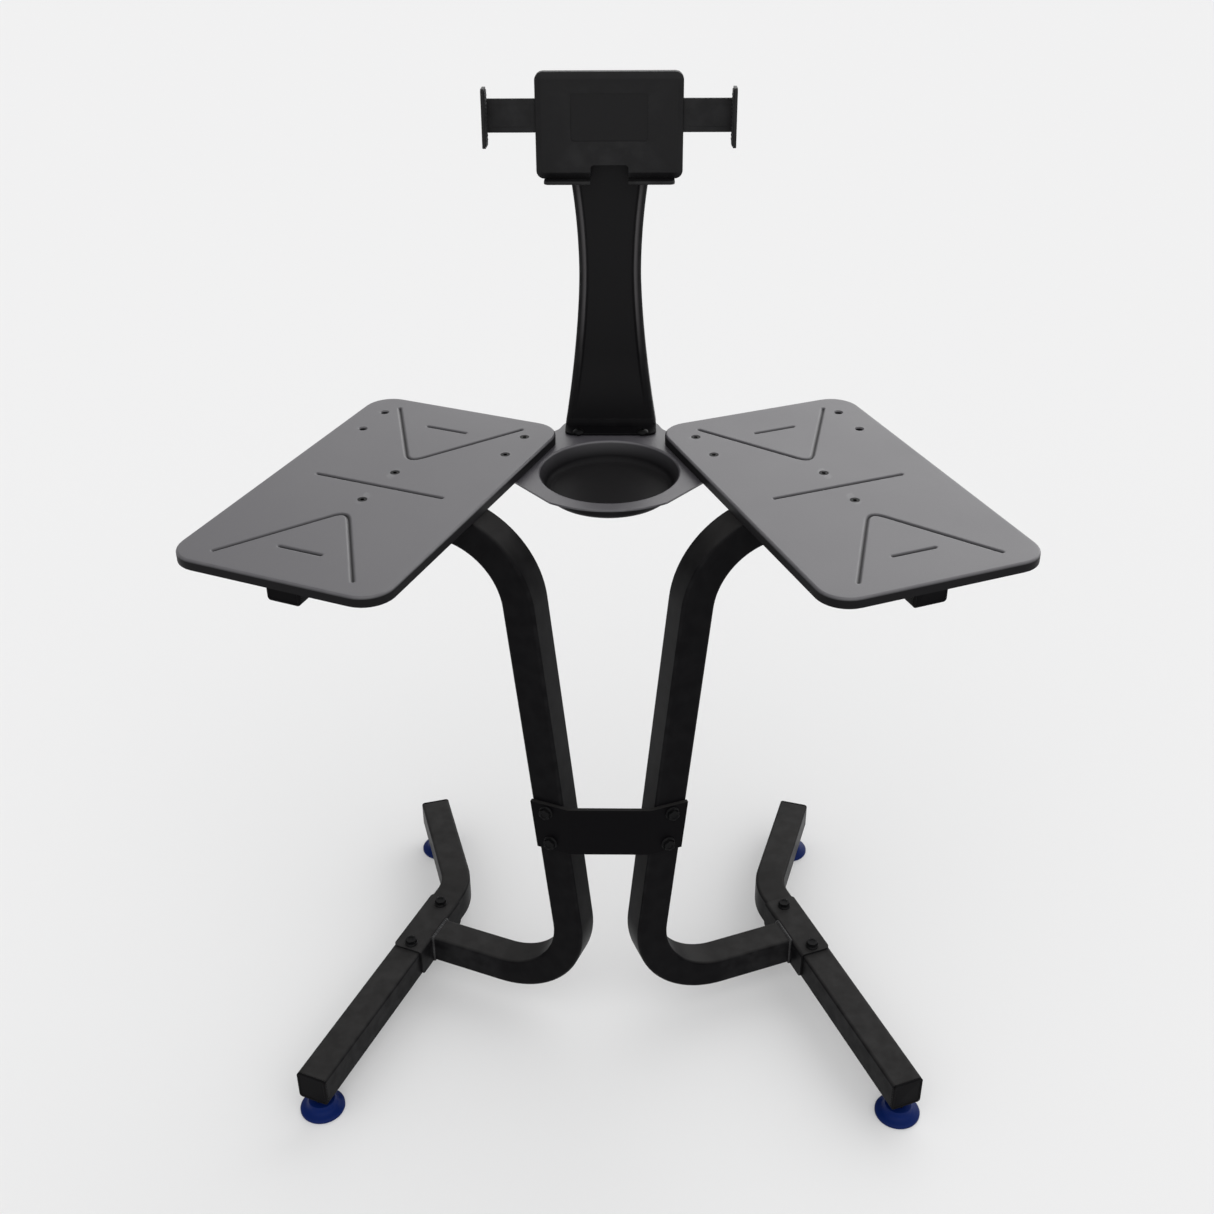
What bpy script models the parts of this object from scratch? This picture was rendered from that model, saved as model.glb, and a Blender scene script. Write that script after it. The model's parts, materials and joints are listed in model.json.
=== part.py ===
"""Floor stand for a pair of adjustable dumbbells, with a utility dish and a tablet holder.

Two flat trays sit on square-tube uprights that are bent like a C. A crossbar ties the uprights,
a dish plate ties the trays, and a column on the plate carries a holder with two sliding arms.
Metres, +Z up, the front towards -Y, the origin on the floor under the middle of the footprint.
Each side is modelled once, on the right (+X), in a frame turned with its tray, then mirrored.
"""
from math import atan2, cos, pi, radians, sin, sqrt, tan

import bmesh
import bpy
from mathutils import Matrix, Vector

# Fits
GAP = 0.0003                  # between two pieces that touch
HOLE_CLEARANCE = 0.0003       # round a shank

# Overall layout
TRAY_X = 0.258                # tray centre, out from the middle
TRAY_Y = 0.0035               # tray centres, just behind the middle of the footprint
SPLAY = radians(22)           # each tray turns outwards at the back by this much
TRAY_TOP = 0.732

# Square tube
TUBE = 0.040
WALL = 0.002
TUBE_CORNER = 0.005
CAP_FLANGE = 0.003
CAP_PLUG = 0.004

# Trays
TRAY_WIDTH = 0.257
TRAY_LENGTH = 0.445
TRAY_CORNER = 0.034
TRAY_SHEET = 0.0025
TRAY_SKIRT = 0.012
TRAY_EDGE = 0.003
SIDE_HOLE_X = 0.096
SIDE_HOLE_YS = (0.178, 0.126)
BEAM_HOLE_Y = 0.036
HOLE_RADIUS = 0.0043
SINK_RADIUS = 0.0066          # countersink at the tray's face, sloping at 45 degrees
SINK_MARGIN = 0.00045         # between the countersink and a head, measured across

# Beam under each tray
BEAM_LENGTH = 0.400
BEAM_Z = TRAY_TOP - TRAY_SHEET - GAP - TUBE / 2

# Uprights: a C in the upright plane across the tray
UPRIGHT_MID_X = -0.2005       # centre line at UPRIGHT_MID_Z
UPRIGHT_MID_Z = 0.410
UPRIGHT_SLOPE = 0.108         # leans out by this much per metre of height
UPRIGHT_BEND = 0.100
UPRIGHT_LOW_Z = 0.051

# Crossbar between the uprights
CROSSBAR_LOW = 0.289
CROSSBAR_HIGH = 0.357
CROSSBAR_SHEET = 0.005
CROSSBAR_FOLD_X = 0.0488
CROSSBAR_BOLT_ZS = (0.3015, 0.3465)

# Feet
FOOT_X = -0.005               # centre line of the straight part, in from the tray's
FOOT_Z = 0.048
FOOT_FRONT_Y = -0.284
FOOT_KNEE_Y = 0.097
FOOT_KNEE_TURN = radians(38.5)
FOOT_REAR_LENGTH = 0.1847
FOOT_BEND = 0.070
PAD_FROM_FRONT = 0.0160
PAD_FROM_REAR = 0.030

# Bracket that clasps the foot at the bottom of each upright
BRACKET_SHEET = 0.003
BRACKET_FRONT_Y = -0.050
BRACKET_REAR_Y = 0.058
BRACKET_BOLT_YS = (-0.039, 0.043)
BRACKET_BOLT_X = FOOT_X - 0.002

# Levelling feet
PAD_RADIUS = 0.0275
PAD_TOP = 0.0165
STUD_RADIUS = 0.004
STUD_FLANGE_RADIUS = 0.0145
STUD_TOP = 0.0580
NUT_HEIGHT = 0.0065
NUT_RADIUS = 0.0085

# Dish plate
PLATE_TOP = 0.719
PLATE_SHEET = 0.0025
DISH_Y = TRAY_Y + 0.0645
DISH_RADIUS = 0.0835
DISH_FLOOR_RADIUS = 0.072
DISH_DEPTH = 0.023
PLATE_FRONT_ARC = 0.120

# Column, in a frame that leans back from the plate
COLUMN_Y = TRAY_Y + 0.189
COLUMN_LEAN = radians(5)
COLUMN_SHEET = 0.0025
COLUMN_DEPTH = 0.024
COLUMN_HEIGHT = 0.372
COLUMN_WAIST_HEIGHT = 0.190
COLUMN_WAIST = 0.0365         # half width there
COLUMN_FLARE_LOW = 0.0195
COLUMN_FLARE_HIGH = 0.0076
COLUMN_FULL_HEIGHT = 0.2937   # the top flare is complete here
COLUMN_RIB = 0.008
COLUMN_STEP = 0.003
FLANGE_REACH = 0.029
COLUMN_SCREW_X = 0.039
COLUMN_SCREW_REACH = 0.0255

# Tablet holder, in the column's frame
HOLDER_LOW = 0.3005
HOLDER_HIGH = 0.416
HOLDER_HALF = 0.083
HOLDER_CORNER = 0.009
HOLDER_SHEET = 0.0025
HOLDER_BEVEL = 0.0070
FRONT_FACE = -0.0165
SPLIT_FACE = -0.0093
LEDGE_HALF = 0.074
LEDGE_SHEET = 0.004
LEDGE_REACH = 0.016
NOTCH_HALF = 0.0215
NOTCH_TOP = 0.316
RECESS_HALF = 0.0435
RECESS_LOW = 0.342
RECESS_HIGH = 0.3937
RECESS_DEPTH = 0.001
ARM_LOW = 0.3505
ARM_HIGH = 0.3870
ARM_SHEET = 0.004
ARM_FRONT = -0.0084
ARM_INSIDE = 0.010
TONGUE_INNER = 0.031
JAW_OUTER = 0.1415
JAW_SHEET = 0.0035
JAW_LOW = 0.336
JAW_HIGH = 0.400
JAW_REACH = 0.031
JAW_PAD_SHEET = 0.0015

BLACK_STEEL = ("black_steel", (0.035, 0.035, 0.038), 0.45, 0.3)
TRAY_STEEL = ("tray_steel", (0.075, 0.075, 0.080), 0.42, 0.3)
BLACK_PLASTIC = ("black_plastic", (0.020, 0.020, 0.021), 0.50, 0.0)
DARK_HARDWARE = ("dark_hardware", (0.050, 0.050, 0.055), 0.38, 0.8)
BLUE_RUBBER = ("blue_rubber", (0.020, 0.110, 0.560), 0.60, 0.0)
BLACK_RUBBER = ("black_rubber", (0.015, 0.015, 0.016), 0.80, 0.0)


# --- Scene helpers ---------------------------------------------------------------------------

def clear_scene():
    """Remove what the scene holds, and make the two collections."""
    for thing in list(bpy.data.objects):
        bpy.data.objects.remove(thing, do_unlink=True)
    for name in ("dumbbell_stand", "cutters"):
        if name not in bpy.data.collections:
            bpy.context.scene.collection.children.link(bpy.data.collections.new(name))


def material(finish):
    """The Principled material of a finish, made once."""
    name, colour, roughness, metallic = finish
    if name in bpy.data.materials:
        return bpy.data.materials[name]
    made = bpy.data.materials.new(name)
    made.use_nodes = True
    shader = made.node_tree.nodes["Principled BSDF"]
    shader.inputs["Base Color"].default_value = (*colour, 1)
    shader.inputs["Roughness"].default_value = roughness
    shader.inputs["Metallic"].default_value = metallic
    return made


def frame_empty(name, location, rotation):
    """An empty that carries a local frame."""
    empty = bpy.data.objects.new(name, None)
    empty.location = location
    empty.rotation_euler = rotation
    bpy.data.collections["dumbbell_stand"].objects.link(empty)
    return empty


def add_piece(name, mesh, finish, parent=None, location=(0, 0, 0)):
    """Put a mesh in the stand as a named piece."""
    mesh.name = name
    mesh.materials.clear()
    mesh.materials.append(material(finish))
    mesh.shade_smooth()
    mesh.set_sharp_from_angle(angle=radians(35))
    piece = bpy.data.objects.new(name, mesh)
    piece.parent = parent
    piece.location = location
    bpy.data.collections["dumbbell_stand"].objects.link(piece)
    return piece


def mesh_of(builder):
    """The mesh of a finished bmesh."""
    mesh = bpy.data.meshes.new("draft")
    builder.to_mesh(mesh)
    builder.free()
    return mesh


def evaluated(data, modifiers=()):
    """The mesh of a curve or mesh once its modifiers are applied, its caps welded on."""
    draft = bpy.data.objects.new("draft", data)
    bpy.data.collections["cutters"].objects.link(draft)
    for kind, settings in modifiers:
        modifier = draft.modifiers.new(kind.title(), kind)
        for key, value in settings.items():
            setattr(modifier, key, value)
    graph = bpy.context.evaluated_depsgraph_get()
    mesh = bpy.data.meshes.new_from_object(draft.evaluated_get(graph), depsgraph=graph)
    bpy.data.objects.remove(draft, do_unlink=True)
    builder = bmesh.new()
    builder.from_mesh(mesh)
    bmesh.ops.remove_doubles(builder, verts=builder.verts, dist=0.00002)
    builder.to_mesh(mesh)
    builder.free()
    return mesh


def combine(mesh, others, operation):
    """Cut others out of a mesh (DIFFERENCE) or weld them on (UNION), one after another."""
    for other in others:
        tool = bpy.data.objects.new("tool", other)
        bpy.data.collections["cutters"].objects.link(tool)
        tool.hide_render = True
        tool.display_type = "WIRE"
        settings = {"operation": operation, "solver": "EXACT", "object": tool}
        mesh = evaluated(mesh, [("BOOLEAN", settings)])
        bpy.data.objects.remove(tool, do_unlink=True)
    return mesh


def solidify(thickness, offset):
    """Settings that give an open surface a wall."""
    return ("SOLIDIFY", {"thickness": thickness, "offset": offset, "use_even_offset": True})


# --- Shapes ------------------------------------------------------------------------------------

def rounded_path(corners, closed, arc_step=radians(15)):
    """Points along corners (x, y, radius), with an arc at each corner that has a radius."""
    points = []
    count = len(corners)
    for index, (x, y, radius) in enumerate(corners):
        here = Vector((x, y))
        if radius == 0 or (not closed and index in (0, count - 1)):
            points.append(here)
            continue
        back = (Vector(corners[index - 1][:2]) - here).normalized()
        ahead = (Vector(corners[(index + 1) % count][:2]) - here).normalized()
        half = back.angle(ahead) / 2
        centre = here + (back + ahead).normalized() * (radius / sin(half))
        first = here + back * (radius / tan(half)) - centre
        turn = pi - 2 * half
        if back.cross(ahead) > 0:
            turn = -turn
        steps = max(2, round(abs(turn) / arc_step))
        for step in range(steps + 1):
            points.append(centre + Matrix.Rotation(turn * step / steps, 2) @ first)
    return points


def rounded_rectangle(low_x, high_x, low_y, high_y, radius, arc_step=radians(15)):
    """The outline of a rectangle with round corners."""
    corners = [(low_x, low_y), (high_x, low_y), (high_x, high_y), (low_x, high_y)]
    return rounded_path([(x, y, radius) for x, y in corners], True, arc_step)


def curve_of(outlines, closed=True, flat=True):
    """A curve through each outline's points."""
    curve = bpy.data.curves.new("outline", "CURVE")
    curve.dimensions = "2D" if flat else "3D"
    for outline in outlines:
        spline = curve.splines.new("POLY")
        spline.points.add(len(outline) - 1)
        for point, place in zip(spline.points, outline):
            point.co = (place[0], place[1], 0, 1)
        spline.use_cyclic_u = closed
    return curve


def flat_plate(outlines, low, high):
    """A plate with the given outline (and holes), from one height to another."""
    curve = curve_of(outlines)
    curve.fill_mode = "BOTH"
    curve.extrude = (high - low) / 2
    mesh = evaluated(curve)
    mesh.transform(Matrix.Translation((0, 0, (low + high) / 2)))
    return mesh


def square_tube(path):
    """A hollow square tube, open at both ends, along a path in the XY plane."""
    half = TUBE / 2
    profile = bpy.data.objects.new(
        "profile", curve_of([rounded_rectangle(-half, half, -half, half, TUBE_CORNER, radians(45))]))
    bpy.data.collections["cutters"].objects.link(profile)
    curve = curve_of([path], closed=False, flat=False)
    curve.twist_mode = "Z_UP"
    curve.bevel_mode = "OBJECT"
    curve.bevel_object = profile
    curve.use_fill_caps = False
    skin = evaluated(curve)
    bpy.data.objects.remove(profile, do_unlink=True)
    builder = bmesh.new()
    builder.from_mesh(skin)
    bmesh.ops.recalc_face_normals(builder, faces=builder.faces)
    top = max(builder.faces, key=lambda face: face.calc_center_median().z)
    if top.normal.z < 0:
        bmesh.ops.reverse_faces(builder, faces=builder.faces)
    builder.to_mesh(skin)
    builder.free()
    return evaluated(skin, [solidify(WALL, -1)])


def turned(profile, segments):
    """A solid turned round Z: the profile (radius, z) runs down its outer side from the axis."""
    builder = bmesh.new()
    points = [builder.verts.new((radius, 0, z)) for radius, z in profile]
    for first, second in zip(points, points[1:]):
        builder.edges.new((first, second))
    settings = {"steps": segments, "render_steps": segments, "use_merge_vertices": True,
                "merge_threshold": 0.00001, "axis": "Z"}
    solid = evaluated(mesh_of(builder), [("SCREW", settings)])
    builder = bmesh.new()
    builder.from_mesh(solid)
    bmesh.ops.recalc_face_normals(builder, faces=builder.faces)
    return mesh_of(builder)


def prism(radius, low, high, sides, turn=0.0):
    """An upright prism with a regular outline."""
    builder = bmesh.new()
    bmesh.ops.create_cone(builder, cap_ends=True, segments=sides, radius1=radius, radius2=radius,
                          depth=high - low)
    place = Matrix.Translation((0, 0, (low + high) / 2)) @ Matrix.Rotation(turn, 4, "Z")
    bmesh.ops.transform(builder, matrix=place, verts=builder.verts)
    return mesh_of(builder)


def block(low, high):
    """A box between two corners."""
    size = Vector(high) - Vector(low)
    builder = bmesh.new()
    bmesh.ops.create_cube(builder, size=1)
    place = Matrix.Translation((Vector(low) + Vector(high)) / 2) @ Matrix.Diagonal((*size, 1))
    bmesh.ops.transform(builder, matrix=place, verts=builder.verts)
    return mesh_of(builder)


def moved(mesh, matrix):
    """The same mesh, transformed."""
    mesh.transform(matrix)
    return mesh


def hole_tools(places, radius, low, high):
    """Round cutters along Z at the given (x, y) places."""
    return [moved(prism(radius, low, high, 12), Matrix.Translation((x, y, 0))) for x, y in places]


def hex_bolt(grip):
    """A hex bolt with its washer: the washer's underside at z 0, the shank down from there."""
    washer = prism(0.0085, 0, 0.0016, 16)
    head = prism(0.0075, 0.0012, 0.0068, 6)
    shank = prism(0.004, -grip, 0.001, 12)
    return combine(washer, [head, shank], "UNION")


def countersinks(places):
    """Conical cutters for flat heads in the tray's face."""
    above = 0.001
    depth = SINK_RADIUS - HOLE_RADIUS
    profile = [(0, TRAY_TOP + above), (SINK_RADIUS + above, TRAY_TOP + above),
               (HOLE_RADIUS, TRAY_TOP - depth), (0, TRAY_TOP - depth)]
    return [moved(turned(profile, 16), Matrix.Translation((x, y, 0))) for x, y in places]


def button_screw(grip):
    """A round-headed screw with a hex socket: the underside of the head at z 0."""
    head = turned([(0, 0.0042), (0.0040, 0.0039), (0.0072, 0.0012), (0.0072, 0),
                   (0.0039, 0), (0.0039, -grip), (0, -grip)], 12)
    return combine(head, [prism(0.0026, 0.0018, 0.0060, 6)], "DIFFERENCE")


def flat_bolt(grip, nut_top=None):
    """A countersunk bolt with a hex socket, flush with z 0, and its nut if it has one."""
    shank = STUD_RADIUS
    top = -GAP
    rim = SINK_RADIUS - GAP - SINK_MARGIN
    bolt = turned([(0, top), (rim, top), (shank, top - (rim - shank)), (shank, -grip), (0, -grip)],
                  16)
    bolt = combine(bolt, [prism(0.0026, -0.0022, 0.001, 6)], "DIFFERENCE")
    if nut_top is None:
        return bolt
    return combine(bolt, [prism(0.0075, nut_top - 0.0065, nut_top, 6)], "UNION")


def end_cap():
    """A plug for a square tube: the flange at z 0 to CAP_FLANGE, the plug below it."""
    half = TUBE / 2
    inner = half - WALL - GAP
    flange = flat_plate([rounded_rectangle(-half, half, -half, half, TUBE_CORNER, radians(30))],
                        0, CAP_FLANGE)
    plug = flat_plate([rounded_rectangle(-inner, inner, -inner, inner, 0.003, radians(45))],
                      -CAP_PLUG, 0.001)
    return combine(flange, [plug], "UNION")


def cap_matrix(x, y, z, heading):
    """Turn an end cap so that its flange faces along a heading in the XY plane."""
    return (Matrix.Translation((x, y, z)) @ Matrix.Rotation(heading, 4, "Z")
            @ Matrix.Rotation(pi / 2, 4, "Y"))


# --- One side, in the tray's own frame (x outwards, y back) ------------------------------------

def upright_x(z):
    """The upright's centre line in its straight part."""
    return UPRIGHT_MID_X + UPRIGHT_SLOPE * (z - UPRIGHT_MID_Z)


def side_holes():
    """The four holes near the back of a tray, as (x, y)."""
    return [(x, y) for x in (-SIDE_HOLE_X, SIDE_HOLE_X) for y in SIDE_HOLE_YS]


def beam_holes():
    """The two holes over the beam."""
    return [(0, -BEAM_HOLE_Y), (0, BEAM_HOLE_Y)]


def foot_corners(shorten=0.0):
    """The foot's centre line: front end, knee and rear end."""
    reach = FOOT_REAR_LENGTH - shorten
    heading = pi / 2 - FOOT_KNEE_TURN
    return [(FOOT_X, FOOT_FRONT_Y + shorten, 0), (FOOT_X, FOOT_KNEE_Y, FOOT_BEND),
            (FOOT_X + reach * cos(heading), FOOT_KNEE_Y + reach * sin(heading), 0)]


def pad_places():
    """The levelling feet: front and rear, as (x, y)."""
    rear = foot_corners(PAD_FROM_REAR)[2]
    return {"front": (FOOT_X, FOOT_FRONT_Y + PAD_FROM_FRONT), "rear": rear[:2]}


def make_tray():
    """A pressed tray with a skirt all round, and nuts welded under the holes that stay free."""
    outline = rounded_rectangle(-TRAY_WIDTH / 2, TRAY_WIDTH / 2, -TRAY_LENGTH / 2,
                                TRAY_LENGTH / 2, TRAY_CORNER)
    builder = bmesh.new()
    top = builder.faces.new([builder.verts.new((x, y, TRAY_TOP)) for x, y in outline])
    rim = list(top.edges)
    skirt = bmesh.ops.extrude_edge_only(builder, edges=rim)
    lower = [item for item in skirt["geom"] if isinstance(item, bmesh.types.BMVert)]
    bmesh.ops.translate(builder, vec=(0, 0, -TRAY_SKIRT), verts=lower)
    bmesh.ops.recalc_face_normals(builder, faces=builder.faces)
    if top.normal.z < 0:
        bmesh.ops.reverse_faces(builder, faces=builder.faces)
    bmesh.ops.bevel(builder, geom=rim, offset=TRAY_EDGE, offset_type="OFFSET", segments=2,
                    profile=0.5, affect="EDGES", clamp_overlap=True, material=-1)
    shell = evaluated(mesh_of(builder), [solidify(TRAY_SHEET, -1)])
    places = side_holes() + beam_holes()
    under = TRAY_TOP - TRAY_SHEET
    nuts = [moved(prism(0.0075, under - 0.0065, under + 0.0005, 6), Matrix.Translation((x, y, 0)))
            for x, y in side_holes() if x > 0]
    shell = combine(shell, nuts, "UNION")
    tools = hole_tools(places, HOLE_RADIUS, TRAY_TOP - 0.012, TRAY_TOP + 0.004)
    return combine(shell, tools + countersinks(places), "DIFFERENCE")


def make_beam():
    """The square tube under a tray, open at both ends."""
    reach = BEAM_LENGTH / 2 - CAP_FLANGE - GAP
    beam = moved(square_tube([(0, -reach), (0, reach)]), Matrix.Translation((0, 0, BEAM_Z)))
    tools = hole_tools(beam_holes(), HOLE_RADIUS, BEAM_Z + TUBE / 2 - 0.005, BEAM_Z + TUBE / 2 + 0.004)
    return combine(beam, tools, "DIFFERENCE")


def make_upright():
    """The C-shaped tube from the foot to the beam."""
    foot_end = FOOT_X - TUBE / 2 - BRACKET_SHEET - 2 * GAP
    beam_end = -TUBE / 2 - GAP
    path = rounded_path([
        (foot_end, UPRIGHT_LOW_Z, 0),
        (upright_x(UPRIGHT_LOW_Z), UPRIGHT_LOW_Z, UPRIGHT_BEND),
        (upright_x(BEAM_Z), BEAM_Z, UPRIGHT_BEND),
        (beam_end, BEAM_Z, 0)], False, radians(12))
    tube = moved(square_tube(path), Matrix.Rotation(pi / 2, 4, "X"))
    tools = []
    for z in CROSSBAR_BOLT_ZS:
        drill = prism(HOLE_RADIUS, -0.005, 0.005, 12)
        place = Matrix.Translation((upright_x(z), -TUBE / 2, z)) @ Matrix.Rotation(pi / 2, 4, "X")
        tools.append(moved(drill, place))
    return combine(tube, tools, "DIFFERENCE")


def make_foot():
    """The bent floor tube, drilled for its bolts and levelling feet."""
    path = rounded_path(foot_corners(CAP_FLANGE + GAP), False, radians(6))
    tube = moved(square_tube(path), Matrix.Translation((0, 0, FOOT_Z)))
    top = FOOT_Z + TUBE / 2
    bottom = FOOT_Z - TUBE / 2
    bolts = [(BRACKET_BOLT_X, y) for y in BRACKET_BOLT_YS]
    tools = hole_tools(bolts, HOLE_RADIUS, top - 0.005, top + 0.004)
    tools += hole_tools(pad_places().values(), HOLE_RADIUS, bottom - 0.004, bottom + 0.005)
    return combine(tube, tools, "DIFFERENCE")


def make_bracket():
    """The folded plate over the foot's top and down its inner side."""
    low = FOOT_Z - TUBE / 2 + 0.003
    over = FOOT_Z + TUBE / 2 + GAP
    inner = FOOT_X - TUBE / 2 - GAP
    outer = FOOT_X + TUBE / 2 - 0.001
    builder = bmesh.new()
    section = rounded_path([(inner, low, 0), (inner, over, 0.004), (outer, over, 0)],
                           False, radians(30))
    verts = [builder.verts.new((x, BRACKET_FRONT_Y, z)) for x, z in section]
    edges = [builder.edges.new(pair) for pair in zip(verts, verts[1:])]
    swept = bmesh.ops.extrude_edge_only(builder, edges=edges)
    ends = [item for item in swept["geom"] if isinstance(item, bmesh.types.BMVert)]
    bmesh.ops.translate(builder, vec=(0, BRACKET_REAR_Y - BRACKET_FRONT_Y, 0), verts=ends)
    bmesh.ops.recalc_face_normals(builder, faces=builder.faces)
    highest = max(builder.faces, key=lambda face: face.calc_center_median().z)
    if highest.normal.z < 0:
        bmesh.ops.reverse_faces(builder, faces=builder.faces)
    plate = evaluated(mesh_of(builder), [solidify(BRACKET_SHEET, 1)])
    places = [(BRACKET_BOLT_X, y) for y in BRACKET_BOLT_YS]
    tools = hole_tools(places, HOLE_RADIUS, over - 0.003, over + BRACKET_SHEET + 0.004)
    return combine(plate, tools, "DIFFERENCE")


def make_pad():
    """A levelling pad with a blind socket for its stud."""
    socket = STUD_RADIUS + HOLE_CLEARANCE
    profile = [(0, 0.0055), (socket, 0.0055), (socket, PAD_TOP), (0.0175, PAD_TOP),
               (0.0235, 0.0060), (PAD_RADIUS, 0.0035), (PAD_RADIUS, 0), (0, 0)]
    return turned(profile, 20)


def make_stud():
    """A threaded stud with a hex boss that a spanner turns."""
    stud = prism(STUD_RADIUS, 0.0058, STUD_TOP, 14)
    flange = prism(STUD_FLANGE_RADIUS, PAD_TOP + GAP, FOOT_Z - TUBE / 2 - GAP, 6)
    return combine(stud, [flange], "UNION")


def make_nut():
    """The nut inside the foot that a stud runs in."""
    floor = FOOT_Z - TUBE / 2 + WALL + GAP
    nut = prism(NUT_RADIUS, floor, floor + NUT_HEIGHT, 6)
    return combine(nut, [prism(HOLE_RADIUS, floor - 0.002, floor + NUT_HEIGHT + 0.002, 12)],
                   "DIFFERENCE")


def build_side(frame):
    """All the pieces of the right side that are its mirror on the left."""
    pieces = [
        add_piece("right_tray", make_tray(), TRAY_STEEL, frame),
        add_piece("right_support_beam", make_beam(), BLACK_STEEL, frame),
        add_piece("right_upright", make_upright(), BLACK_STEEL, frame),
        add_piece("right_foot_tube", make_foot(), BLACK_STEEL, frame),
        add_piece("right_foot_bracket", make_bracket(), BLACK_STEEL, frame),
    ]

    reach = BEAM_LENGTH / 2 - CAP_FLANGE
    beam_caps = {"front": (0, -reach, -pi / 2), "rear": (0, reach, pi / 2)}
    for end, (x, y, heading) in beam_caps.items():
        cap = moved(end_cap(), cap_matrix(x, y, BEAM_Z, heading))
        pieces.append(add_piece(f"right_beam_{end}_cap", cap, BLACK_PLASTIC, frame))

    front, _, rear = foot_corners(CAP_FLANGE)
    foot_caps = {"front": (*front[:2], -pi / 2), "rear": (*rear[:2], pi / 2 - FOOT_KNEE_TURN)}
    for end, (x, y, heading) in foot_caps.items():
        cap = moved(end_cap(), cap_matrix(x, y, FOOT_Z, heading))
        pieces.append(add_piece(f"right_foot_{end}_cap", cap, BLACK_PLASTIC, frame))

    for number, (x, y) in enumerate(beam_holes(), 1):
        place = (x, y, TRAY_TOP)
        pieces.append(add_piece(f"right_beam_bolt_{number}", flat_bolt(0.020), DARK_HARDWARE,
                                frame, place))

    nut_top = PLATE_TOP - PLATE_SHEET - GAP - TRAY_TOP
    for number, y in enumerate(SIDE_HOLE_YS, 1):
        place = (-SIDE_HOLE_X, y, TRAY_TOP)
        pieces.append(add_piece(f"right_plate_bolt_{number}", flat_bolt(0.025, nut_top),
                                DARK_HARDWARE, frame, place))

    bracket_top = FOOT_Z + TUBE / 2 + BRACKET_SHEET + 2 * GAP
    for number, y in enumerate(BRACKET_BOLT_YS, 1):
        place = (BRACKET_BOLT_X, y, bracket_top)
        pieces.append(add_piece(f"right_bracket_bolt_{number}", hex_bolt(0.018), DARK_HARDWARE,
                                frame, place))

    for number, z in enumerate(CROSSBAR_BOLT_ZS, 1):
        place = (upright_x(z), -TUBE / 2 - CROSSBAR_SHEET - 2 * GAP, z)
        bolt = moved(hex_bolt(0.020), Matrix.Rotation(pi / 2, 4, "X"))
        pieces.append(add_piece(f"right_crossbar_bolt_{number}", bolt, DARK_HARDWARE, frame, place))

    for end, (x, y) in pad_places().items():
        pieces.append(add_piece(f"right_{end}_pad", make_pad(), BLUE_RUBBER, frame, (x, y, 0)))
        pieces.append(add_piece(f"right_{end}_stud", make_stud(), DARK_HARDWARE, frame, (x, y, 0)))
        pieces.append(add_piece(f"right_{end}_nut", make_nut(), DARK_HARDWARE, frame, (x, y, 0)))
    return pieces


def mirror_piece(piece, frame):
    """The left-hand copy of a right-hand piece."""
    mesh = piece.data.copy()
    mesh.transform(Matrix.Scale(-1, 4, (1, 0, 0)))
    mesh.flip_normals()
    copy = bpy.data.objects.new(piece.name.replace("right_", "left_"), mesh)
    mesh.name = copy.name
    copy.parent = frame
    copy.location = (-piece.location.x, piece.location.y, piece.location.z)
    bpy.data.collections["dumbbell_stand"].objects.link(copy)


# --- Pieces across the middle ------------------------------------------------------------------

def side_matrix(side):
    """The tray frame of the right (1) or left (-1) side."""
    return Matrix.Translation((side * TRAY_X, TRAY_Y, 0)) @ Matrix.Rotation(side * SPLAY, 4, "Z")


def on_side(x, y, side=1):
    """A point of the right tray's frame in the stand's frame, or its mirror on the left."""
    point = side_matrix(1) @ Vector((x, y, 0))
    return side * point.x, point.y


def make_crossbar():
    """The folded plate across the fronts of the uprights."""
    face = -TUBE / 2 - GAP
    fold_x = (CROSSBAR_FOLD_X - TRAY_X + face * sin(SPLAY)) / cos(SPLAY)
    builder = bmesh.new()
    rows = []
    for z in (CROSSBAR_LOW, CROSSBAR_HIGH):
        edge = upright_x(z) + TUBE / 2
        ends = [on_side(edge, face, -1), on_side(fold_x, face, -1), on_side(fold_x, face),
                on_side(edge, face)]
        rows.append([builder.verts.new((x, y, z)) for x, y in ends])
    low, high = rows
    for index in range(3):
        builder.faces.new((low[index], low[index + 1], high[index + 1], high[index]))
    folds = [builder.edges.get((low[index], high[index])) for index in (1, 2)]
    bmesh.ops.bevel(builder, geom=folds, offset=0.002, offset_type="OFFSET", segments=2,
                    profile=0.5, affect="EDGES", clamp_overlap=True, material=-1)
    bmesh.ops.recalc_face_normals(builder, faces=builder.faces)
    middle = min(builder.faces, key=lambda part: abs(part.calc_center_median().x))
    if middle.normal.y > 0:
        bmesh.ops.reverse_faces(builder, faces=builder.faces)
    bar = evaluated(mesh_of(builder), [solidify(CROSSBAR_SHEET, 1)])
    tools = []
    for side in (1, -1):
        for z in CROSSBAR_BOLT_ZS:
            x = side * upright_x(z)
            place = Matrix.Translation((x, face, z)) @ Matrix.Rotation(pi / 2, 4, "X")
            tools.append(moved(prism(HOLE_RADIUS, -0.004, 0.012, 12), side_matrix(side) @ place))
    return combine(bar, tools, "DIFFERENCE")


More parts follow.
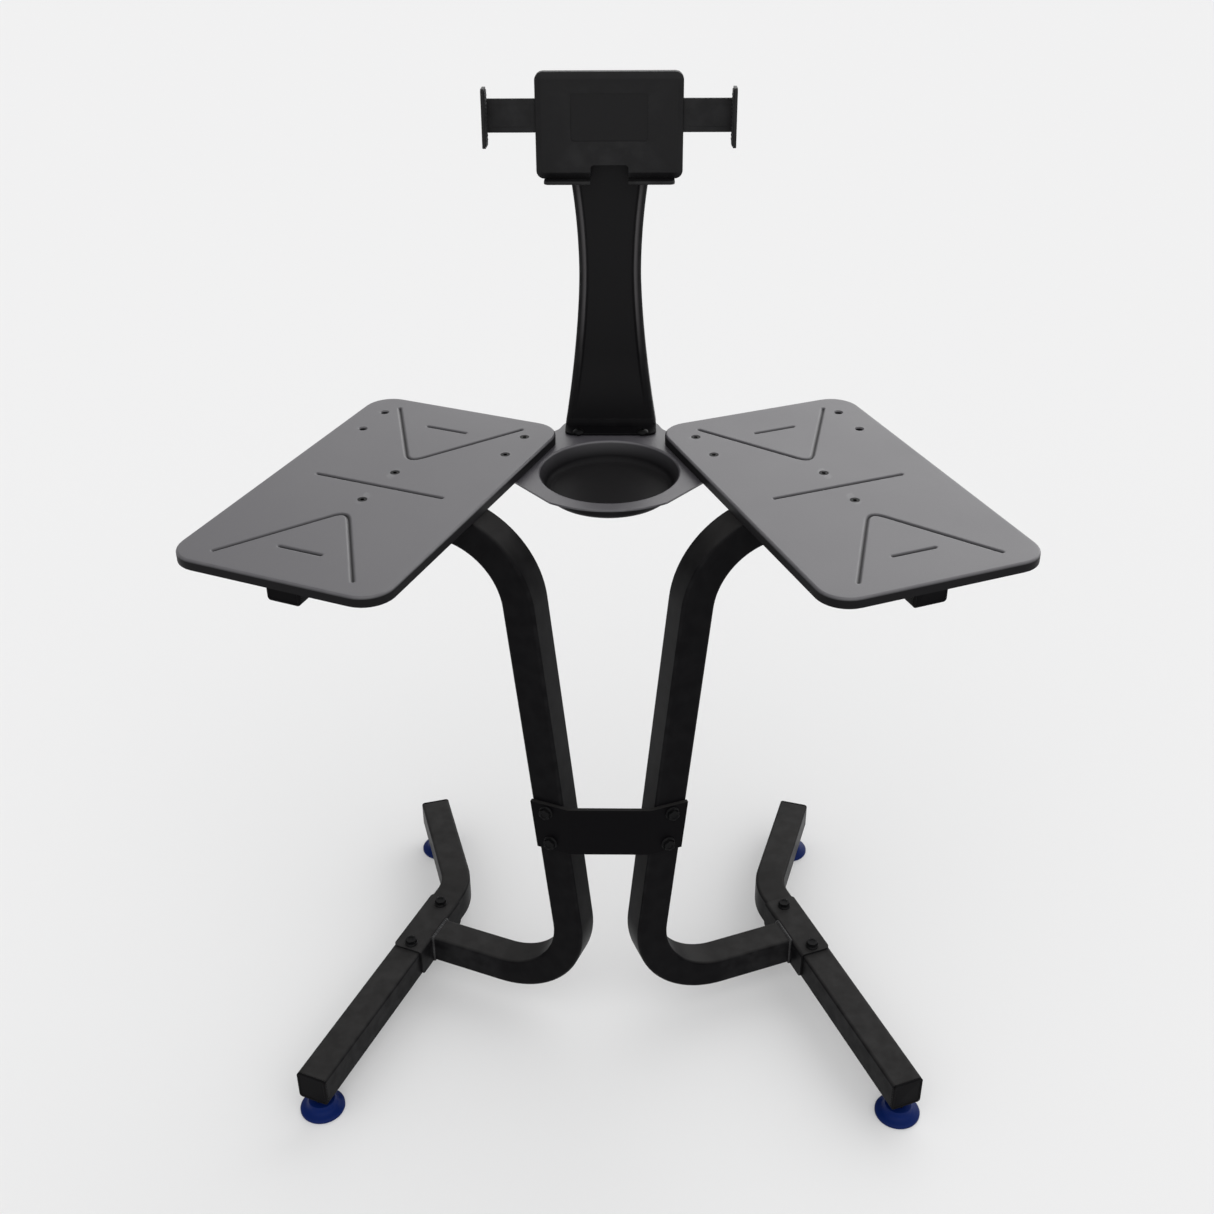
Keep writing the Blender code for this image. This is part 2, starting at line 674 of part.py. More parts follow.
def plate_outline():
    """The dish plate seen from above: front arc, slanted edges, wings under the trays, tongue."""
    arc_y = TRAY_Y - 0.034 + PLATE_FRONT_ARC
    arc_end = 0.066
    sweep = atan2(arc_end, sqrt(PLATE_FRONT_ARC ** 2 - arc_end ** 2))
    steps = 8
    front = []
    for step in range(-steps, steps + 1):
        angle = sweep * step / steps
        front.append((PLATE_FRONT_ARC * sin(angle), arc_y - PLATE_FRONT_ARC * cos(angle), 0))
    right = [(0.140, TRAY_Y + 0.0743, 0.012), (0.112, TRAY_Y + 0.163, 0.012),
             (0.066, TRAY_Y + 0.172, 0.012), (0.055, TRAY_Y + 0.203, 0.010)]
    left = [(-x, y, radius) for x, y, radius in reversed(right)]
    return rounded_path(front + right + left, True)


def dish_profile():
    """The inside of the dish from its rim down: (radius, depth) with a round lip and heel."""
    lip = 0.003
    heel = 0.007
    points = []
    for step in range(3):
        angle = pi / 2 * step / 2
        points.append((DISH_RADIUS - lip * sin(angle), lip * (1 - cos(angle))))
    for step in range(3):
        angle = pi / 2 * step / 2
        points.append((DISH_FLOOR_RADIUS + heel * (cos(angle) - 1) + 0.002,
                       DISH_DEPTH - heel + heel * sin(angle)))
    return points


def make_dish_plate():
    """One pressed sheet: a flat plate with a round dish, and a bush welded on at each tray bolt."""
    segments = 40
    circle = [(DISH_RADIUS * cos(2 * pi * step / segments),
               DISH_Y + DISH_RADIUS * sin(2 * pi * step / segments)) for step in range(segments)]
    curve = curve_of([plate_outline(), circle])
    curve.fill_mode = "BOTH"
    sheet = evaluated(curve)
    builder = bmesh.new()
    builder.from_mesh(sheet)
    centre = Vector((0, DISH_Y, 0))
    edges = [edge for edge in builder.edges if edge.is_boundary
             and all(abs((vert.co - centre).length - DISH_RADIUS) < 0.0002 for vert in edge.verts)]
    radius = DISH_RADIUS
    depth = 0.0
    for next_radius, next_depth in dish_profile()[1:]:
        grown = bmesh.ops.extrude_edge_only(builder, edges=edges)["geom"]
        ring = [item for item in grown if isinstance(item, bmesh.types.BMVert)]
        edges = [item for item in grown if isinstance(item, bmesh.types.BMEdge)
                 and item.verts[0] in ring and item.verts[1] in ring]
        scale = next_radius / radius
        bmesh.ops.scale(builder, vec=(scale, scale, 1), verts=ring,
                        space=Matrix.Translation((0, -DISH_Y, 0)))
        bmesh.ops.translate(builder, vec=(0, 0, depth - next_depth), verts=ring)
        radius, depth = next_radius, next_depth
    bmesh.ops.contextual_create(builder, geom=edges)
    bmesh.ops.translate(builder, vec=(0, 0, PLATE_TOP), verts=builder.verts)
    bmesh.ops.recalc_face_normals(builder, faces=builder.faces)
    highest = max(builder.faces, key=lambda part: part.calc_center_median().z)
    if highest.normal.z < 0:
        bmesh.ops.reverse_faces(builder, faces=builder.faces)
    plate = evaluated(mesh_of(builder), [solidify(PLATE_SHEET, -1)])

    bolts = [on_side(-SIDE_HOLE_X, y, side) for side in (1, -1) for y in SIDE_HOLE_YS]
    bush_top = TRAY_TOP - TRAY_SHEET - GAP
    bushes = [moved(prism(0.010, PLATE_TOP - 0.001, bush_top, 16), Matrix.Translation((x, y, 0)))
              for x, y in bolts]
    plate = combine(plate, bushes, "UNION")
    tools = hole_tools(bolts, HOLE_RADIUS, PLATE_TOP - 0.010, TRAY_TOP)
    screws = [(side * COLUMN_SCREW_X, COLUMN_Y - COLUMN_SCREW_REACH) for side in (1, -1)]
    tools += hole_tools(screws, HOLE_RADIUS, PLATE_TOP - 0.010, PLATE_TOP + 0.010)
    return combine(plate, tools, "DIFFERENCE")


def column_half(height):
    """Half the column's width at a height along it."""
    if height < COLUMN_WAIST_HEIGHT:
        part = (COLUMN_WAIST_HEIGHT - height) / COLUMN_WAIST_HEIGHT
        return COLUMN_WAIST + COLUMN_FLARE_LOW * part ** 1.6
    part = (height - COLUMN_WAIST_HEIGHT) / (COLUMN_FULL_HEIGHT - COLUMN_WAIST_HEIGHT)
    return COLUMN_WAIST + COLUMN_FLARE_HIGH * min(part, 1) ** 2


def lofted(rows):
    """An open surface through rows of points that all have the same count."""
    builder = bmesh.new()
    strips = []
    for row in rows:
        verts = [builder.verts.new(point) for point in row]
        strips.append([builder.edges.new(pair) for pair in zip(verts, verts[1:])])
    for low, high in zip(strips, strips[1:]):
        bmesh.ops.bridge_loops(builder, edges=low + high)
    bmesh.ops.recalc_face_normals(builder, faces=builder.faces)
    return builder


def face_forward(builder):
    """Turn a surface so that its foremost face looks to -Y."""
    foremost = min(builder.faces, key=lambda part: part.calc_center_median().y)
    if foremost.normal.y > 0:
        bmesh.ops.reverse_faces(builder, faces=builder.faces)


def column_section(height):
    """Half of the column's outer section at a height, from the middle to the back edge."""
    half = column_half(height)
    fade = min(1, max(0, (height - 0.030) / 0.050), max(0, (0.330 - height) / 0.020))
    step = COLUMN_STEP * fade
    return [(0, step), (half - COLUMN_RIB - 0.005, step), (half - COLUMN_RIB, 0),
            (half - 0.003, 0), (half - 0.0009, 0.0009), (half, 0.003), (half, COLUMN_DEPTH)]


def make_column_shell():
    """The column's front and sides, with a flange at its foot."""
    low = GAP + 0.0006
    heights = [low] + [0.012 + (COLUMN_HEIGHT - 0.012) * step / 15 for step in range(16)]
    rows = []
    for height in heights:
        right = column_section(height)
        section = [(-x, y) for x, y in reversed(right[1:])] + right
        rows.append([(x, y, height) for x, y in section])
    builder = lofted(rows)
    face_forward(builder)
    shell = evaluated(mesh_of(builder), [solidify(COLUMN_SHEET, -1)])
    half = column_half(0) - 0.0005
    flange = flat_plate([rounded_path([(-half, 0.004, 0), (-half, -FLANGE_REACH, 0.010),
                                       (half, -FLANGE_REACH, 0.010), (half, 0.004, 0)], True)],
                        0, 0.003)
    lean_back = Matrix.Rotation(COLUMN_LEAN, 4, "X")
    flange = moved(flange, lean_back @ Matrix.Translation((0, 0, GAP)))
    floor = moved(block((-0.1, -0.1, -0.05), (0.1, 0.1, GAP)), lean_back)
    shell = combine(shell, [floor], "DIFFERENCE")
    shell = combine(shell, [flange], "UNION")
    tools = []
    for x in (-COLUMN_SCREW_X, COLUMN_SCREW_X):
        drill = prism(HOLE_RADIUS, -0.004, 0.010, 12)
        tools.append(moved(drill, lean_back @ Matrix.Translation((x, -COLUMN_SCREW_REACH, 0))))
    return combine(shell, tools, "DIFFERENCE")


def make_column_cover():
    """The panel that closes the column's back, inside its sides."""
    rows = []
    for step in range(13):
        height = 0.006 + (COLUMN_HEIGHT - 0.008) * step / 12
        half = column_half(height) - COLUMN_SHEET - GAP
        rows.append([(-half, COLUMN_DEPTH - 0.001, height), (half, COLUMN_DEPTH - 0.001, height)])
    builder = lofted(rows)
    if next(iter(builder.faces)).normal.y < 0:
        bmesh.ops.reverse_faces(builder, faces=builder.faces)
    return evaluated(mesh_of(builder), [solidify(COLUMN_SHEET, -1)])


def upright_plate(outlines, front, back):
    """A plate that stands in the column's XZ plane, between two depths."""
    return moved(flat_plate(outlines, -back, -front), Matrix.Rotation(pi / 2, 4, "X"))


def make_holder_front():
    """The holder's front cover: bevelled face, shallow recess, ledge and cable notch."""
    outer = rounded_rectangle(-HOLDER_HALF, HOLDER_HALF, HOLDER_LOW, HOLDER_HIGH, HOLDER_CORNER,
                              radians(22.5))
    builder = bmesh.new()
    face = builder.faces.new([builder.verts.new((x, FRONT_FACE + 0.003, z)) for x, z in outer])
    bmesh.ops.inset_region(builder, faces=[face], thickness=HOLDER_BEVEL, depth=0,
                           use_boundary=True, use_even_offset=True)
    bmesh.ops.translate(builder, vec=(0, -0.003, 0), verts=face.verts)
    edge_ring = [edge for edge in builder.edges if edge.is_boundary]
    skirt = bmesh.ops.extrude_edge_only(builder, edges=edge_ring)
    rear = [item for item in skirt["geom"] if isinstance(item, bmesh.types.BMVert)]
    for vert in rear:
        vert.co.y = SPLIT_FACE
    bmesh.ops.recalc_face_normals(builder, faces=builder.faces)
    face_forward(builder)
    cover = evaluated(mesh_of(builder), [solidify(HOLDER_SHEET, -1)])
    ledge = block((-LEDGE_HALF, FRONT_FACE - LEDGE_REACH, HOLDER_LOW - 0.0035),
                  (LEDGE_HALF, SPLIT_FACE, HOLDER_LOW - 0.0035 + LEDGE_SHEET))
    cover = combine(cover, [ledge], "UNION")
    notch = upright_plate([rounded_path([
        (-NOTCH_HALF, HOLDER_LOW - 0.010, 0), (NOTCH_HALF, HOLDER_LOW - 0.010, 0),
        (NOTCH_HALF, NOTCH_TOP, 0.004), (-NOTCH_HALF, NOTCH_TOP, 0.004)], True)], -0.060, 0.010)
    recess = upright_plate([rounded_rectangle(-RECESS_HALF, RECESS_HALF, RECESS_LOW, RECESS_HIGH,
                                              0.003)], FRONT_FACE - 0.01, FRONT_FACE + RECESS_DEPTH)
    return combine(cover, [notch, recess], "DIFFERENCE")


def make_holder_back():
    """The holder's back cover: a shallow tray, slotted at the sides for the arms."""
    outer = rounded_rectangle(-HOLDER_HALF, HOLDER_HALF, HOLDER_LOW, HOLDER_HIGH, HOLDER_CORNER,
                              radians(22.5))
    builder = bmesh.new()
    back = builder.faces.new([builder.verts.new((x, -GAP, z)) for x, z in outer])
    walls = bmesh.ops.extrude_edge_only(builder, edges=list(back.edges))
    front = [item for item in walls["geom"] if isinstance(item, bmesh.types.BMVert)]
    for vert in front:
        vert.co.y = SPLIT_FACE + GAP
    bmesh.ops.recalc_face_normals(builder, faces=builder.faces)
    if back.normal.y < 0:
        bmesh.ops.reverse_faces(builder, faces=builder.faces)
    shell = evaluated(mesh_of(builder), [solidify(HOLDER_SHEET, -1)])
    slot = block((-0.1, ARM_FRONT - 0.0003, ARM_LOW - 0.0003),
                 (0.1, ARM_FRONT + ARM_SHEET + 0.0003, ARM_HIGH + 0.0003))
    notch = block((-NOTCH_HALF, -0.02, HOLDER_LOW - 0.01), (NOTCH_HALF, 0.01, NOTCH_TOP))
    return combine(shell, [slot, notch], "DIFFERENCE")


def make_arm(side):
    """A sliding arm: tongue inside the holder, flat outside, with an upright jaw."""
    middle = (ARM_LOW + ARM_HIGH) / 2
    tongue = (middle + 0.0008, ARM_HIGH) if side > 0 else (ARM_LOW, middle - 0.0008)
    shoulder = HOLDER_HALF - ARM_INSIDE
    flat = block((shoulder, ARM_FRONT, ARM_LOW), (JAW_OUTER - 0.001, ARM_FRONT + ARM_SHEET, ARM_HIGH))
    guide = block((TONGUE_INNER, ARM_FRONT, tongue[0]),
                  (shoulder + 0.002, ARM_FRONT + ARM_SHEET, tongue[1]))
    jaw = block((JAW_OUTER - JAW_SHEET, -JAW_REACH, JAW_LOW),
                (JAW_OUTER, ARM_FRONT + ARM_SHEET, JAW_HIGH))
    arm = combine(flat, [guide, jaw], "UNION")
    if side < 0:
        arm.transform(Matrix.Scale(-1, 4, (1, 0, 0)))
        arm.flip_normals()
    return arm


def make_jaw_pad(side):
    """The thin rubber facing inside a jaw."""
    outer = JAW_OUTER - JAW_SHEET - GAP
    ends = sorted((side * outer, side * (outer - JAW_PAD_SHEET)))
    return block((ends[0], -JAW_REACH + 0.001, JAW_LOW + 0.002),
                 (ends[1], ARM_FRONT - 0.001, JAW_HIGH - 0.002))


def build_middle(column):
    """The pieces on the stand's centre line, and the holder's arms."""
    add_piece("crossbar", make_crossbar(), BLACK_STEEL)
    add_piece("dish_plate", make_dish_plate(), TRAY_STEEL)
    add_piece("column_shell", make_column_shell(), BLACK_PLASTIC, column)
    add_piece("column_back_cover", make_column_cover(), BLACK_PLASTIC, column)
    add_piece("holder_front_cover", make_holder_front(), BLACK_PLASTIC, column)
    add_piece("holder_back_cover", make_holder_back(), BLACK_PLASTIC, column)
    for side, word in ((1, "right"), (-1, "left")):
        screw = (side * COLUMN_SCREW_X, COLUMN_Y - COLUMN_SCREW_REACH, PLATE_TOP + 0.003 + 2 * GAP)
        add_piece(f"{word}_column_screw", button_screw(0.014), DARK_HARDWARE, None, screw)
        add_piece(f"{word}_tablet_arm", make_arm(side), BLACK_PLASTIC, column)
        add_piece(f"{word}_jaw_pad", make_jaw_pad(side), BLACK_RUBBER, column)


def main():
    """Build the stand."""
    clear_scene()
    right = frame_empty("right_side", (TRAY_X, TRAY_Y, 0), (0, 0, SPLAY))
    left = frame_empty("left_side", (-TRAY_X, TRAY_Y, 0), (0, 0, -SPLAY))
    column = frame_empty("column_axis", (0, COLUMN_Y, PLATE_TOP), (-COLUMN_LEAN, 0, 0))
    for piece in build_side(right):
        mirror_piece(piece, left)
    build_middle(column)


main()
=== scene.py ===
"""The looks of an adjustable dumbbell stand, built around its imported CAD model.

Every piece is modelled in metres in the model's own frame. Pieces of a side are modelled once, in
the frame of the right tray (x outwards, y back), and mirrored for the left. Pieces of the column
are modelled in a frame that leans back with it, with its origin on the holder's face.
"""

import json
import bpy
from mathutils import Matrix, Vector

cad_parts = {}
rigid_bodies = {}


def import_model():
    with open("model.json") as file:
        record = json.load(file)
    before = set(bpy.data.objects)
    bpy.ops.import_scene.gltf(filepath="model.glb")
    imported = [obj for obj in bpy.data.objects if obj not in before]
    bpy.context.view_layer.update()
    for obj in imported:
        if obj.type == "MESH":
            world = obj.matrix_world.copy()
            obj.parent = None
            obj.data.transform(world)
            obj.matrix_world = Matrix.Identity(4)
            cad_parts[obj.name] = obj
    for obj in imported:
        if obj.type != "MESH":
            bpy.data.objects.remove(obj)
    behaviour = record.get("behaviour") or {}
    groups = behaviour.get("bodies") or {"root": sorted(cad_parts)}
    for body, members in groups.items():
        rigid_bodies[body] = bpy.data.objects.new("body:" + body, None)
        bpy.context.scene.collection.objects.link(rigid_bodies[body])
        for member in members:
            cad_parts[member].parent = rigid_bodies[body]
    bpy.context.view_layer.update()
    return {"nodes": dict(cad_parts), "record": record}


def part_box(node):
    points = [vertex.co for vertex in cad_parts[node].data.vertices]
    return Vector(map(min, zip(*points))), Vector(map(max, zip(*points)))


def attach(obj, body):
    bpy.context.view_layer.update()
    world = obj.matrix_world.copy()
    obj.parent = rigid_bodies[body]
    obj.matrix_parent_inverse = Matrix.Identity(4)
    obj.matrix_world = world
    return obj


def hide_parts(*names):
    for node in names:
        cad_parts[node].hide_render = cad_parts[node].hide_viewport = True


bl_info = {
    "name": "Dumbbell Stand",
    "version": (1, 0, 0),
    "blender": (4, 5, 0),
    "location": "View3D > Sidebar > Dumbbell Stand",
    "description": "Models and finishes a stand for adjustable dumbbells with a tablet holder",
    "category": "Object",
}

from math import atan, atan2, cos, pi, radians, sin, sqrt, tan

import bmesh
import bpy
from mathutils import Matrix, Vector

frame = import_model()
MOUNTS = {mount["name"]: mount for mount in frame["record"]["mounts"]}
UP = Vector((0, 0, 1))
GAP = 0.0003                   # between CAD pieces that touch
MERGE = 0.000005               # vertices closer than this are one
HOLE = 0.0043                  # radius of a hole for a bolt
SHANK = 0.0040                 # radius of a bolt
HEX = 0.0075                   # radius of a hex over its corners
CAP_FLANGE = 0.003             # thickness of an end cap's flange
BEND_ANGLE = radians(50)       # sharper edges than this are softened on folded pieces
FLOOR_REACH = 40               # half the floor's width
SENSOR = 36                    # width of the camera's sensor in millimetres
BACKDROP_EDGE, LAMP_EDGE = 0.58, 0.20     # cosines where the two lights of the room begin


# --- Frames of the side and of the column ------------------------------------------------------

def middle_of(node):
    """The centre of a CAD node's box."""
    low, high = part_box(node)
    return (low + high) / 2


def side_frame():
    """The right tray's frame, from the two bolts on its centre line."""
    front = middle_of("right_beam_bolt_1")
    back = middle_of("right_beam_bolt_2")
    heading = back - front
    centre = (front + back) / 2
    return (Matrix.Translation((centre.x, centre.y, 0))
            @ Matrix.Rotation(atan2(-heading.x, heading.y), 4, "Z"))


def column_frame():
    """The leaning frame of the column, from the face that a tablet rests on."""
    mount = MOUNTS["tablet_rest_face"]
    lean = atan2(mount["axis"][2], -mount["axis"][1])
    return Matrix.Translation(mount["pos_m"]) @ Matrix.Rotation(-lean, 4, "X")


SIDE = side_frame()
COLUMN = column_frame()
MIRROR = Matrix.Scale(-1, 4, (1, 0, 0))


def box_in(node, place):
    """A CAD node's lowest and highest corners in another frame."""
    inverse = place.inverted()
    points = [inverse @ vert.co for vert in frame["nodes"][node].data.vertices]
    return (Vector([min(point[axis] for point in points) for axis in range(3)]),
            Vector([max(point[axis] for point in points) for axis in range(3)]))


TRAY_LOW, TRAY_HIGH = box_in("right_tray", SIDE)
BEAM_LOW, BEAM_HIGH = box_in("right_support_beam", SIDE)
FOOT_LOW, FOOT_HIGH = box_in("right_foot_tube", SIDE)
SHELL_HIGH = box_in("column_shell", COLUMN)[1]
HOLDER_LOW, HOLDER_HIGH = box_in("holder_front_cover", COLUMN)
BACK_LOW, BACK_HIGH = box_in("holder_back_cover", COLUMN)
ARM_LOW, ARM_HIGH = box_in("right_tablet_arm", COLUMN)
TRAY_TOP = MOUNTS["right_tray_top"]["pos_m"][2]
DISH_CENTRE = Vector(MOUNTS["dish_floor"]["pos_m"])
CAP_DEPTH = CAP_FLANGE + GAP
PLATE_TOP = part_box("column_shell")[0].z - GAP


# --- Settings ----------------------------------------------------------------------------------

def length(name, description, default):
    """A length in metres."""
    return bpy.props.FloatProperty(name=name, description=description, default=default,
                                   unit="LENGTH", precision=4)


def turn(name, description, default):
    """An angle."""
    return bpy.props.FloatProperty(name=name, description=description, default=radians(default),
                                   subtype="ANGLE")


def colour(name, description, default):
    """A colour."""
    return bpy.props.FloatVectorProperty(name=name, description=description, default=default,
                                         size=3, subtype="COLOR", min=0, max=1)


class StandTubeSizes(bpy.types.PropertyGroup):
    """Sizes of the square tubes and of what is welded to them."""
    corner: length("Corner", "Outer corner radius of the tubes", 0.004)
    wall: length("Wall", "Wall of the tubes", 0.002)
    upright_reach: length("Upright reach", "How far in the upright stands at mid height", 0.2005)
    upright_mid: length("Upright middle", "Height at which the reach is measured", 0.410)
    upright_slope: bpy.props.FloatProperty(
        name="Upright slope", description="Lean of the upright, outwards per height", default=0.108)
    upright_bend: length("Upright bend", "Bend radius of the upright", 0.100)
    knee_y: length("Knee", "Where the foot bends, from the tray's centre", 0.097)
    knee_turn: turn("Knee turn", "How much the foot bends", 38.5)
    knee_bend: length("Knee bend", "Bend radius of the foot", 0.070)
    rear_length: length("Rear length", "Foot from its knee to its rear end", 0.1847)
    bead: length("Weld bead", "Width of a weld bead", 0.005)


class StandTraySizes(bpy.types.PropertyGroup):
    """Sizes of the trays and of the dish plate."""
    corner: length("Tray corner", "Corner radius of a tray, seen from above", 0.034)
    edge: length("Tray edge", "Radius of a tray's rounded edge", 0.003)
    sheet: length("Sheet", "Thickness of the pressed sheets", 0.0025)
    groove_width: length("Groove width", "Width of the pressed grip lines", 0.0066)
    groove_depth: length("Groove depth", "Depth of the pressed grip lines", 0.0020)
    dish_radius: length("Dish rim", "Radius of the dish at its rim", 0.0835)
    floor_radius: length("Dish floor", "Radius of the dish's flat floor", 0.067)
    dish_heel: length("Dish heel", "Radius between the dish's wall and floor", 0.008)


class StandColumnSizes(bpy.types.PropertyGroup):
    """Sizes of the column and of the tablet holder."""
    waist_height: length("Waist height", "Height of the column's narrowest place", 0.190)
    waist: length("Waist", "Half width of the column at its waist", 0.0365)
    flare_low: length("Lower flare", "What the column widens by at its foot", 0.0195)
    flare_high: length("Upper flare", "What the column widens by at the holder", 0.0076)
    full_height: length("Full height", "Height where the upper flare ends", 0.2937)
    rib: length("Rib", "Distance of the raised edge line from the column's side", 0.008)
    step: length("Step", "Depth of the column's face between its raised edges", 0.003)
    depth: length("Depth", "Column from front to back", 0.024)
    height: length("Height", "Column from the plate to its top", 0.372)
    notch: length("Notch", "Half width of the cable notch", 0.0215)
    panel: length("Panel", "Half width of the sunk panel", 0.0435)
    ledge: length("Ledge", "Half width of the ledges", 0.074)
    jaw: length("Jaw", "Thickness of the jaws", 0.0035)
    corner: length("Holder corner", "Corner radius of the holder", 0.009)
    bevel: length("Holder bevel", "Width of the slope round the holder's face", 0.007)


class StandColours(bpy.types.PropertyGroup):
    """Base colours of the finishes."""
    tube: colour("Tube coat", "Powder coat of the tubes", (0.0030, 0.0028, 0.0033))
    tray: colour("Tray coat", "Powder coat of the trays and the dish plate", (0.048, 0.045, 0.053))
    plastic: colour("Plastic", "Moulded covers and caps", (0.0030, 0.0028, 0.0033))
    hardware: colour("Hardware", "Black oxide of the bolts", (0.0025, 0.0025, 0.0028))
    pad: colour("Pad", "Levelling pads", (0.0006, 0.0095, 0.078))
    rubber: colour("Rubber", "Jaw facings", (0.008, 0.008, 0.009))
    floor: colour("Floor", "Studio floor", (0.660, 0.660, 0.662))


class StandLight(bpy.types.PropertyGroup):
    """The studio's light: a dim room, a bright backdrop and a wide soft lamp in front."""
    room: bpy.props.FloatProperty(name="Room", description="Strength of the room", default=0.60)
    backdrop: bpy.props.FloatProperty(name="Backdrop", description="Strength of the backdrop",
                                      default=1.7)
    backdrop_aim: bpy.props.FloatVectorProperty(
        name="Backdrop aim", description="The backdrop's middle, seen from the stand",
        default=(0.50, 0.82, 0.27), size=3, subtype="DIRECTION")
    background: bpy.props.FloatProperty(
        name="Background", description="Strength of the room as the camera sees it",
        default=0.872)
    floor: bpy.props.FloatProperty(
        name="Floor", description="Light that the floor gives by itself", default=0.16)
    lamp: bpy.props.FloatProperty(name="Lamp", description="Strength of the lamp",
                                      default=0.9)
    lamp_aim: bpy.props.FloatVectorProperty(
        name="Lamp aim", description="The lamp's middle, seen from the stand",
        default=(0.20, -0.85, 0.45), size=3, subtype="DIRECTION")


class StandCamera(bpy.types.PropertyGroup):
    """The camera, placed from the middle between the trays."""
    offset: bpy.props.FloatVectorProperty(
        name="Offset", description="Camera from the middle between the trays, on the floor",
        default=(0.0295, -1.5068, 1.4937), size=3, subtype="TRANSLATION", unit="LENGTH")
    heading: turn("Heading", "Turn about the vertical", 1.2203)
    down: turn("Down", "How far the camera looks down", 31.4286)
    roll: turn("Roll", "Roll of the camera", -0.4806)
    lens: bpy.props.FloatProperty(name="Lens", description="Focal length for a 36 mm sensor",
                                  default=44.52, unit="CAMERA")


# --- Mesh tools --------------------------------------------------------------------------------

def new_verts(result):
    """The vertices that a bmesh operator has made."""
    return [item for item in result["geom"] if isinstance(item, bmesh.types.BMVert)]


def new_edges(result, key="geom"):
    """The edges that a bmesh operator has made."""
    return [item for item in result[key] if isinstance(item, bmesh.types.BMEdge)]


def bevelled(builder, geom, width, segments, affect="EDGES", clamp_overlap=False):
    """Round some edges or corners."""
    bmesh.ops.bevel(builder, geom=geom, offset=width, offset_type="OFFSET", segments=segments,
                    profile=0.5, affect=affect, clamp_overlap=clamp_overlap, material=-1)


def upright_edges(builder, rise=0.001):
    """The edges that climb by more than a rise."""
    return [edge for edge in builder.edges
            if abs(edge.verts[0].co.z - edge.verts[1].co.z) > rise]


def grown_ring(builder, edges):
    """Extrude a ring of edges in place: the new vertices and the new ring."""
    grown = bmesh.ops.extrude_edge_only(builder, edges=edges)
    verts = new_verts(grown)
    return verts, [edge for edge in new_edges(grown) if all(vert in verts for vert in edge.verts)]


def faced(builder, rank, axis=2, sign=1):
    """Turn a skin's faces so that the one of the highest rank looks along an axis."""
    bmesh.ops.recalc_face_normals(builder, faces=builder.faces)
    if max(builder.faces, key=rank).normal[axis] * sign < 0:
        bmesh.ops.reverse_faces(builder, faces=builder.faces)
    return builder


def height_of(face):
    """The height of a face's middle."""
    return face.calc_center_median().z


def area_of(face):
    """The area of a face."""
    return face.calc_area()


def mirrored(builder):
    """A right-hand bmesh made left-hand."""
    bmesh.ops.transform(builder, matrix=MIRROR, verts=builder.verts)
    bmesh.ops.reverse_faces(builder, faces=builder.faces)
    return builder


def polygon(points, level=0.0, rounding=0.0, segments=6):
    """A bmesh with one flat face across XY, its corners rounded."""
    builder = bmesh.new()
    verts = [builder.verts.new((x, y, level)) for x, y in points]
    builder.faces.new(verts)
    if rounding:
        bevelled(builder, verts, rounding, segments, "VERTICES")
    return builder


def rectangle(low_x, high_x, low_y, high_y):
    """The corners of a rectangle."""
    return [(low_x, low_y), (high_x, low_y), (high_x, high_y), (low_x, high_y)]


def thicken(builder, height):
    """Extrude every face of a flat bmesh upwards into a solid."""
    grown = bmesh.ops.extrude_face_region(builder, geom=builder.faces[:])
    bmesh.ops.translate(builder, vec=(0, 0, height), verts=new_verts(grown))
    bmesh.ops.recalc_face_normals(builder, faces=builder.faces)
    return builder


def plate(points, low, high, rounding=0.0, segments=6):
    """A flat plate between two heights, its outline rounded at the corners."""
    return thicken(polygon(points, low, rounding, segments), high - low)


def soften(builder, width, segments=2, angle=radians(32)):
    """Round every edge that is sharper than an angle."""
    sharp = [edge for edge in builder.edges
             if len(edge.link_faces) == 2 and edge.calc_face_angle(0) > angle]
    bevelled(builder, sharp, width, segments, clamp_overlap=True)
    return builder


def placed(builder, matrix):
    """The same bmesh, moved."""
    bmesh.ops.transform(builder, matrix=matrix, verts=builder.verts)
    return builder


def shade_below(builder, top, reach):
    """Mark what lies below a level for painted shade, in full from a reach below it."""
    layers = builder.verts.layers.float
    layer = layers.get(SHADED) or layers.new(SHADED)
    for vert in builder.verts:
        vert[layer] = max(vert[layer], clamp((top - vert.co.z) / reach, 0, 1))
    return builder


def joined(builders):
    """Several bmeshes as one."""
    whole = bmesh.new()
    for builder in builders:
        mesh = bpy.data.meshes.new("part")
        builder.to_mesh(mesh)
        builder.free()
        whole.from_mesh(mesh)
        bpy.data.meshes.remove(mesh)
    return whole


def turned(profile, steps=48):
    """A shape turned round Z from a chain of (radius, height) points."""
    builder = bmesh.new()
    verts = [builder.verts.new((radius, 0, height)) for radius, height in profile]
    edges = [builder.edges.new(pair) for pair in zip(verts, verts[1:])]
    bmesh.ops.spin(builder, geom=verts + edges, cent=(0, 0, 0), axis=(0, 0, 1), angle=2 * pi,
                   steps=steps, use_merge=True)
    bmesh.ops.remove_doubles(builder, verts=builder.verts, dist=MERGE)
    bmesh.ops.recalc_face_normals(builder, faces=builder.faces)
    return builder


def rod(radius, low, high, sides, rim=0.0):
    """An upright rod or prism with bevelled rims."""
    builder = bmesh.new()
    bmesh.ops.create_cone(builder, cap_ends=True, segments=sides, radius1=radius, radius2=radius,
                          depth=high - low)
    bmesh.ops.translate(builder, vec=(0, 0, (low + high) / 2), verts=builder.verts)
    if rim:
        ends = [edge for edge in builder.edges
                if abs(edge.verts[0].co.z - edge.verts[1].co.z) < 0.00001]
        bevelled(builder, ends, rim, 2, clamp_overlap=True)
    return builder


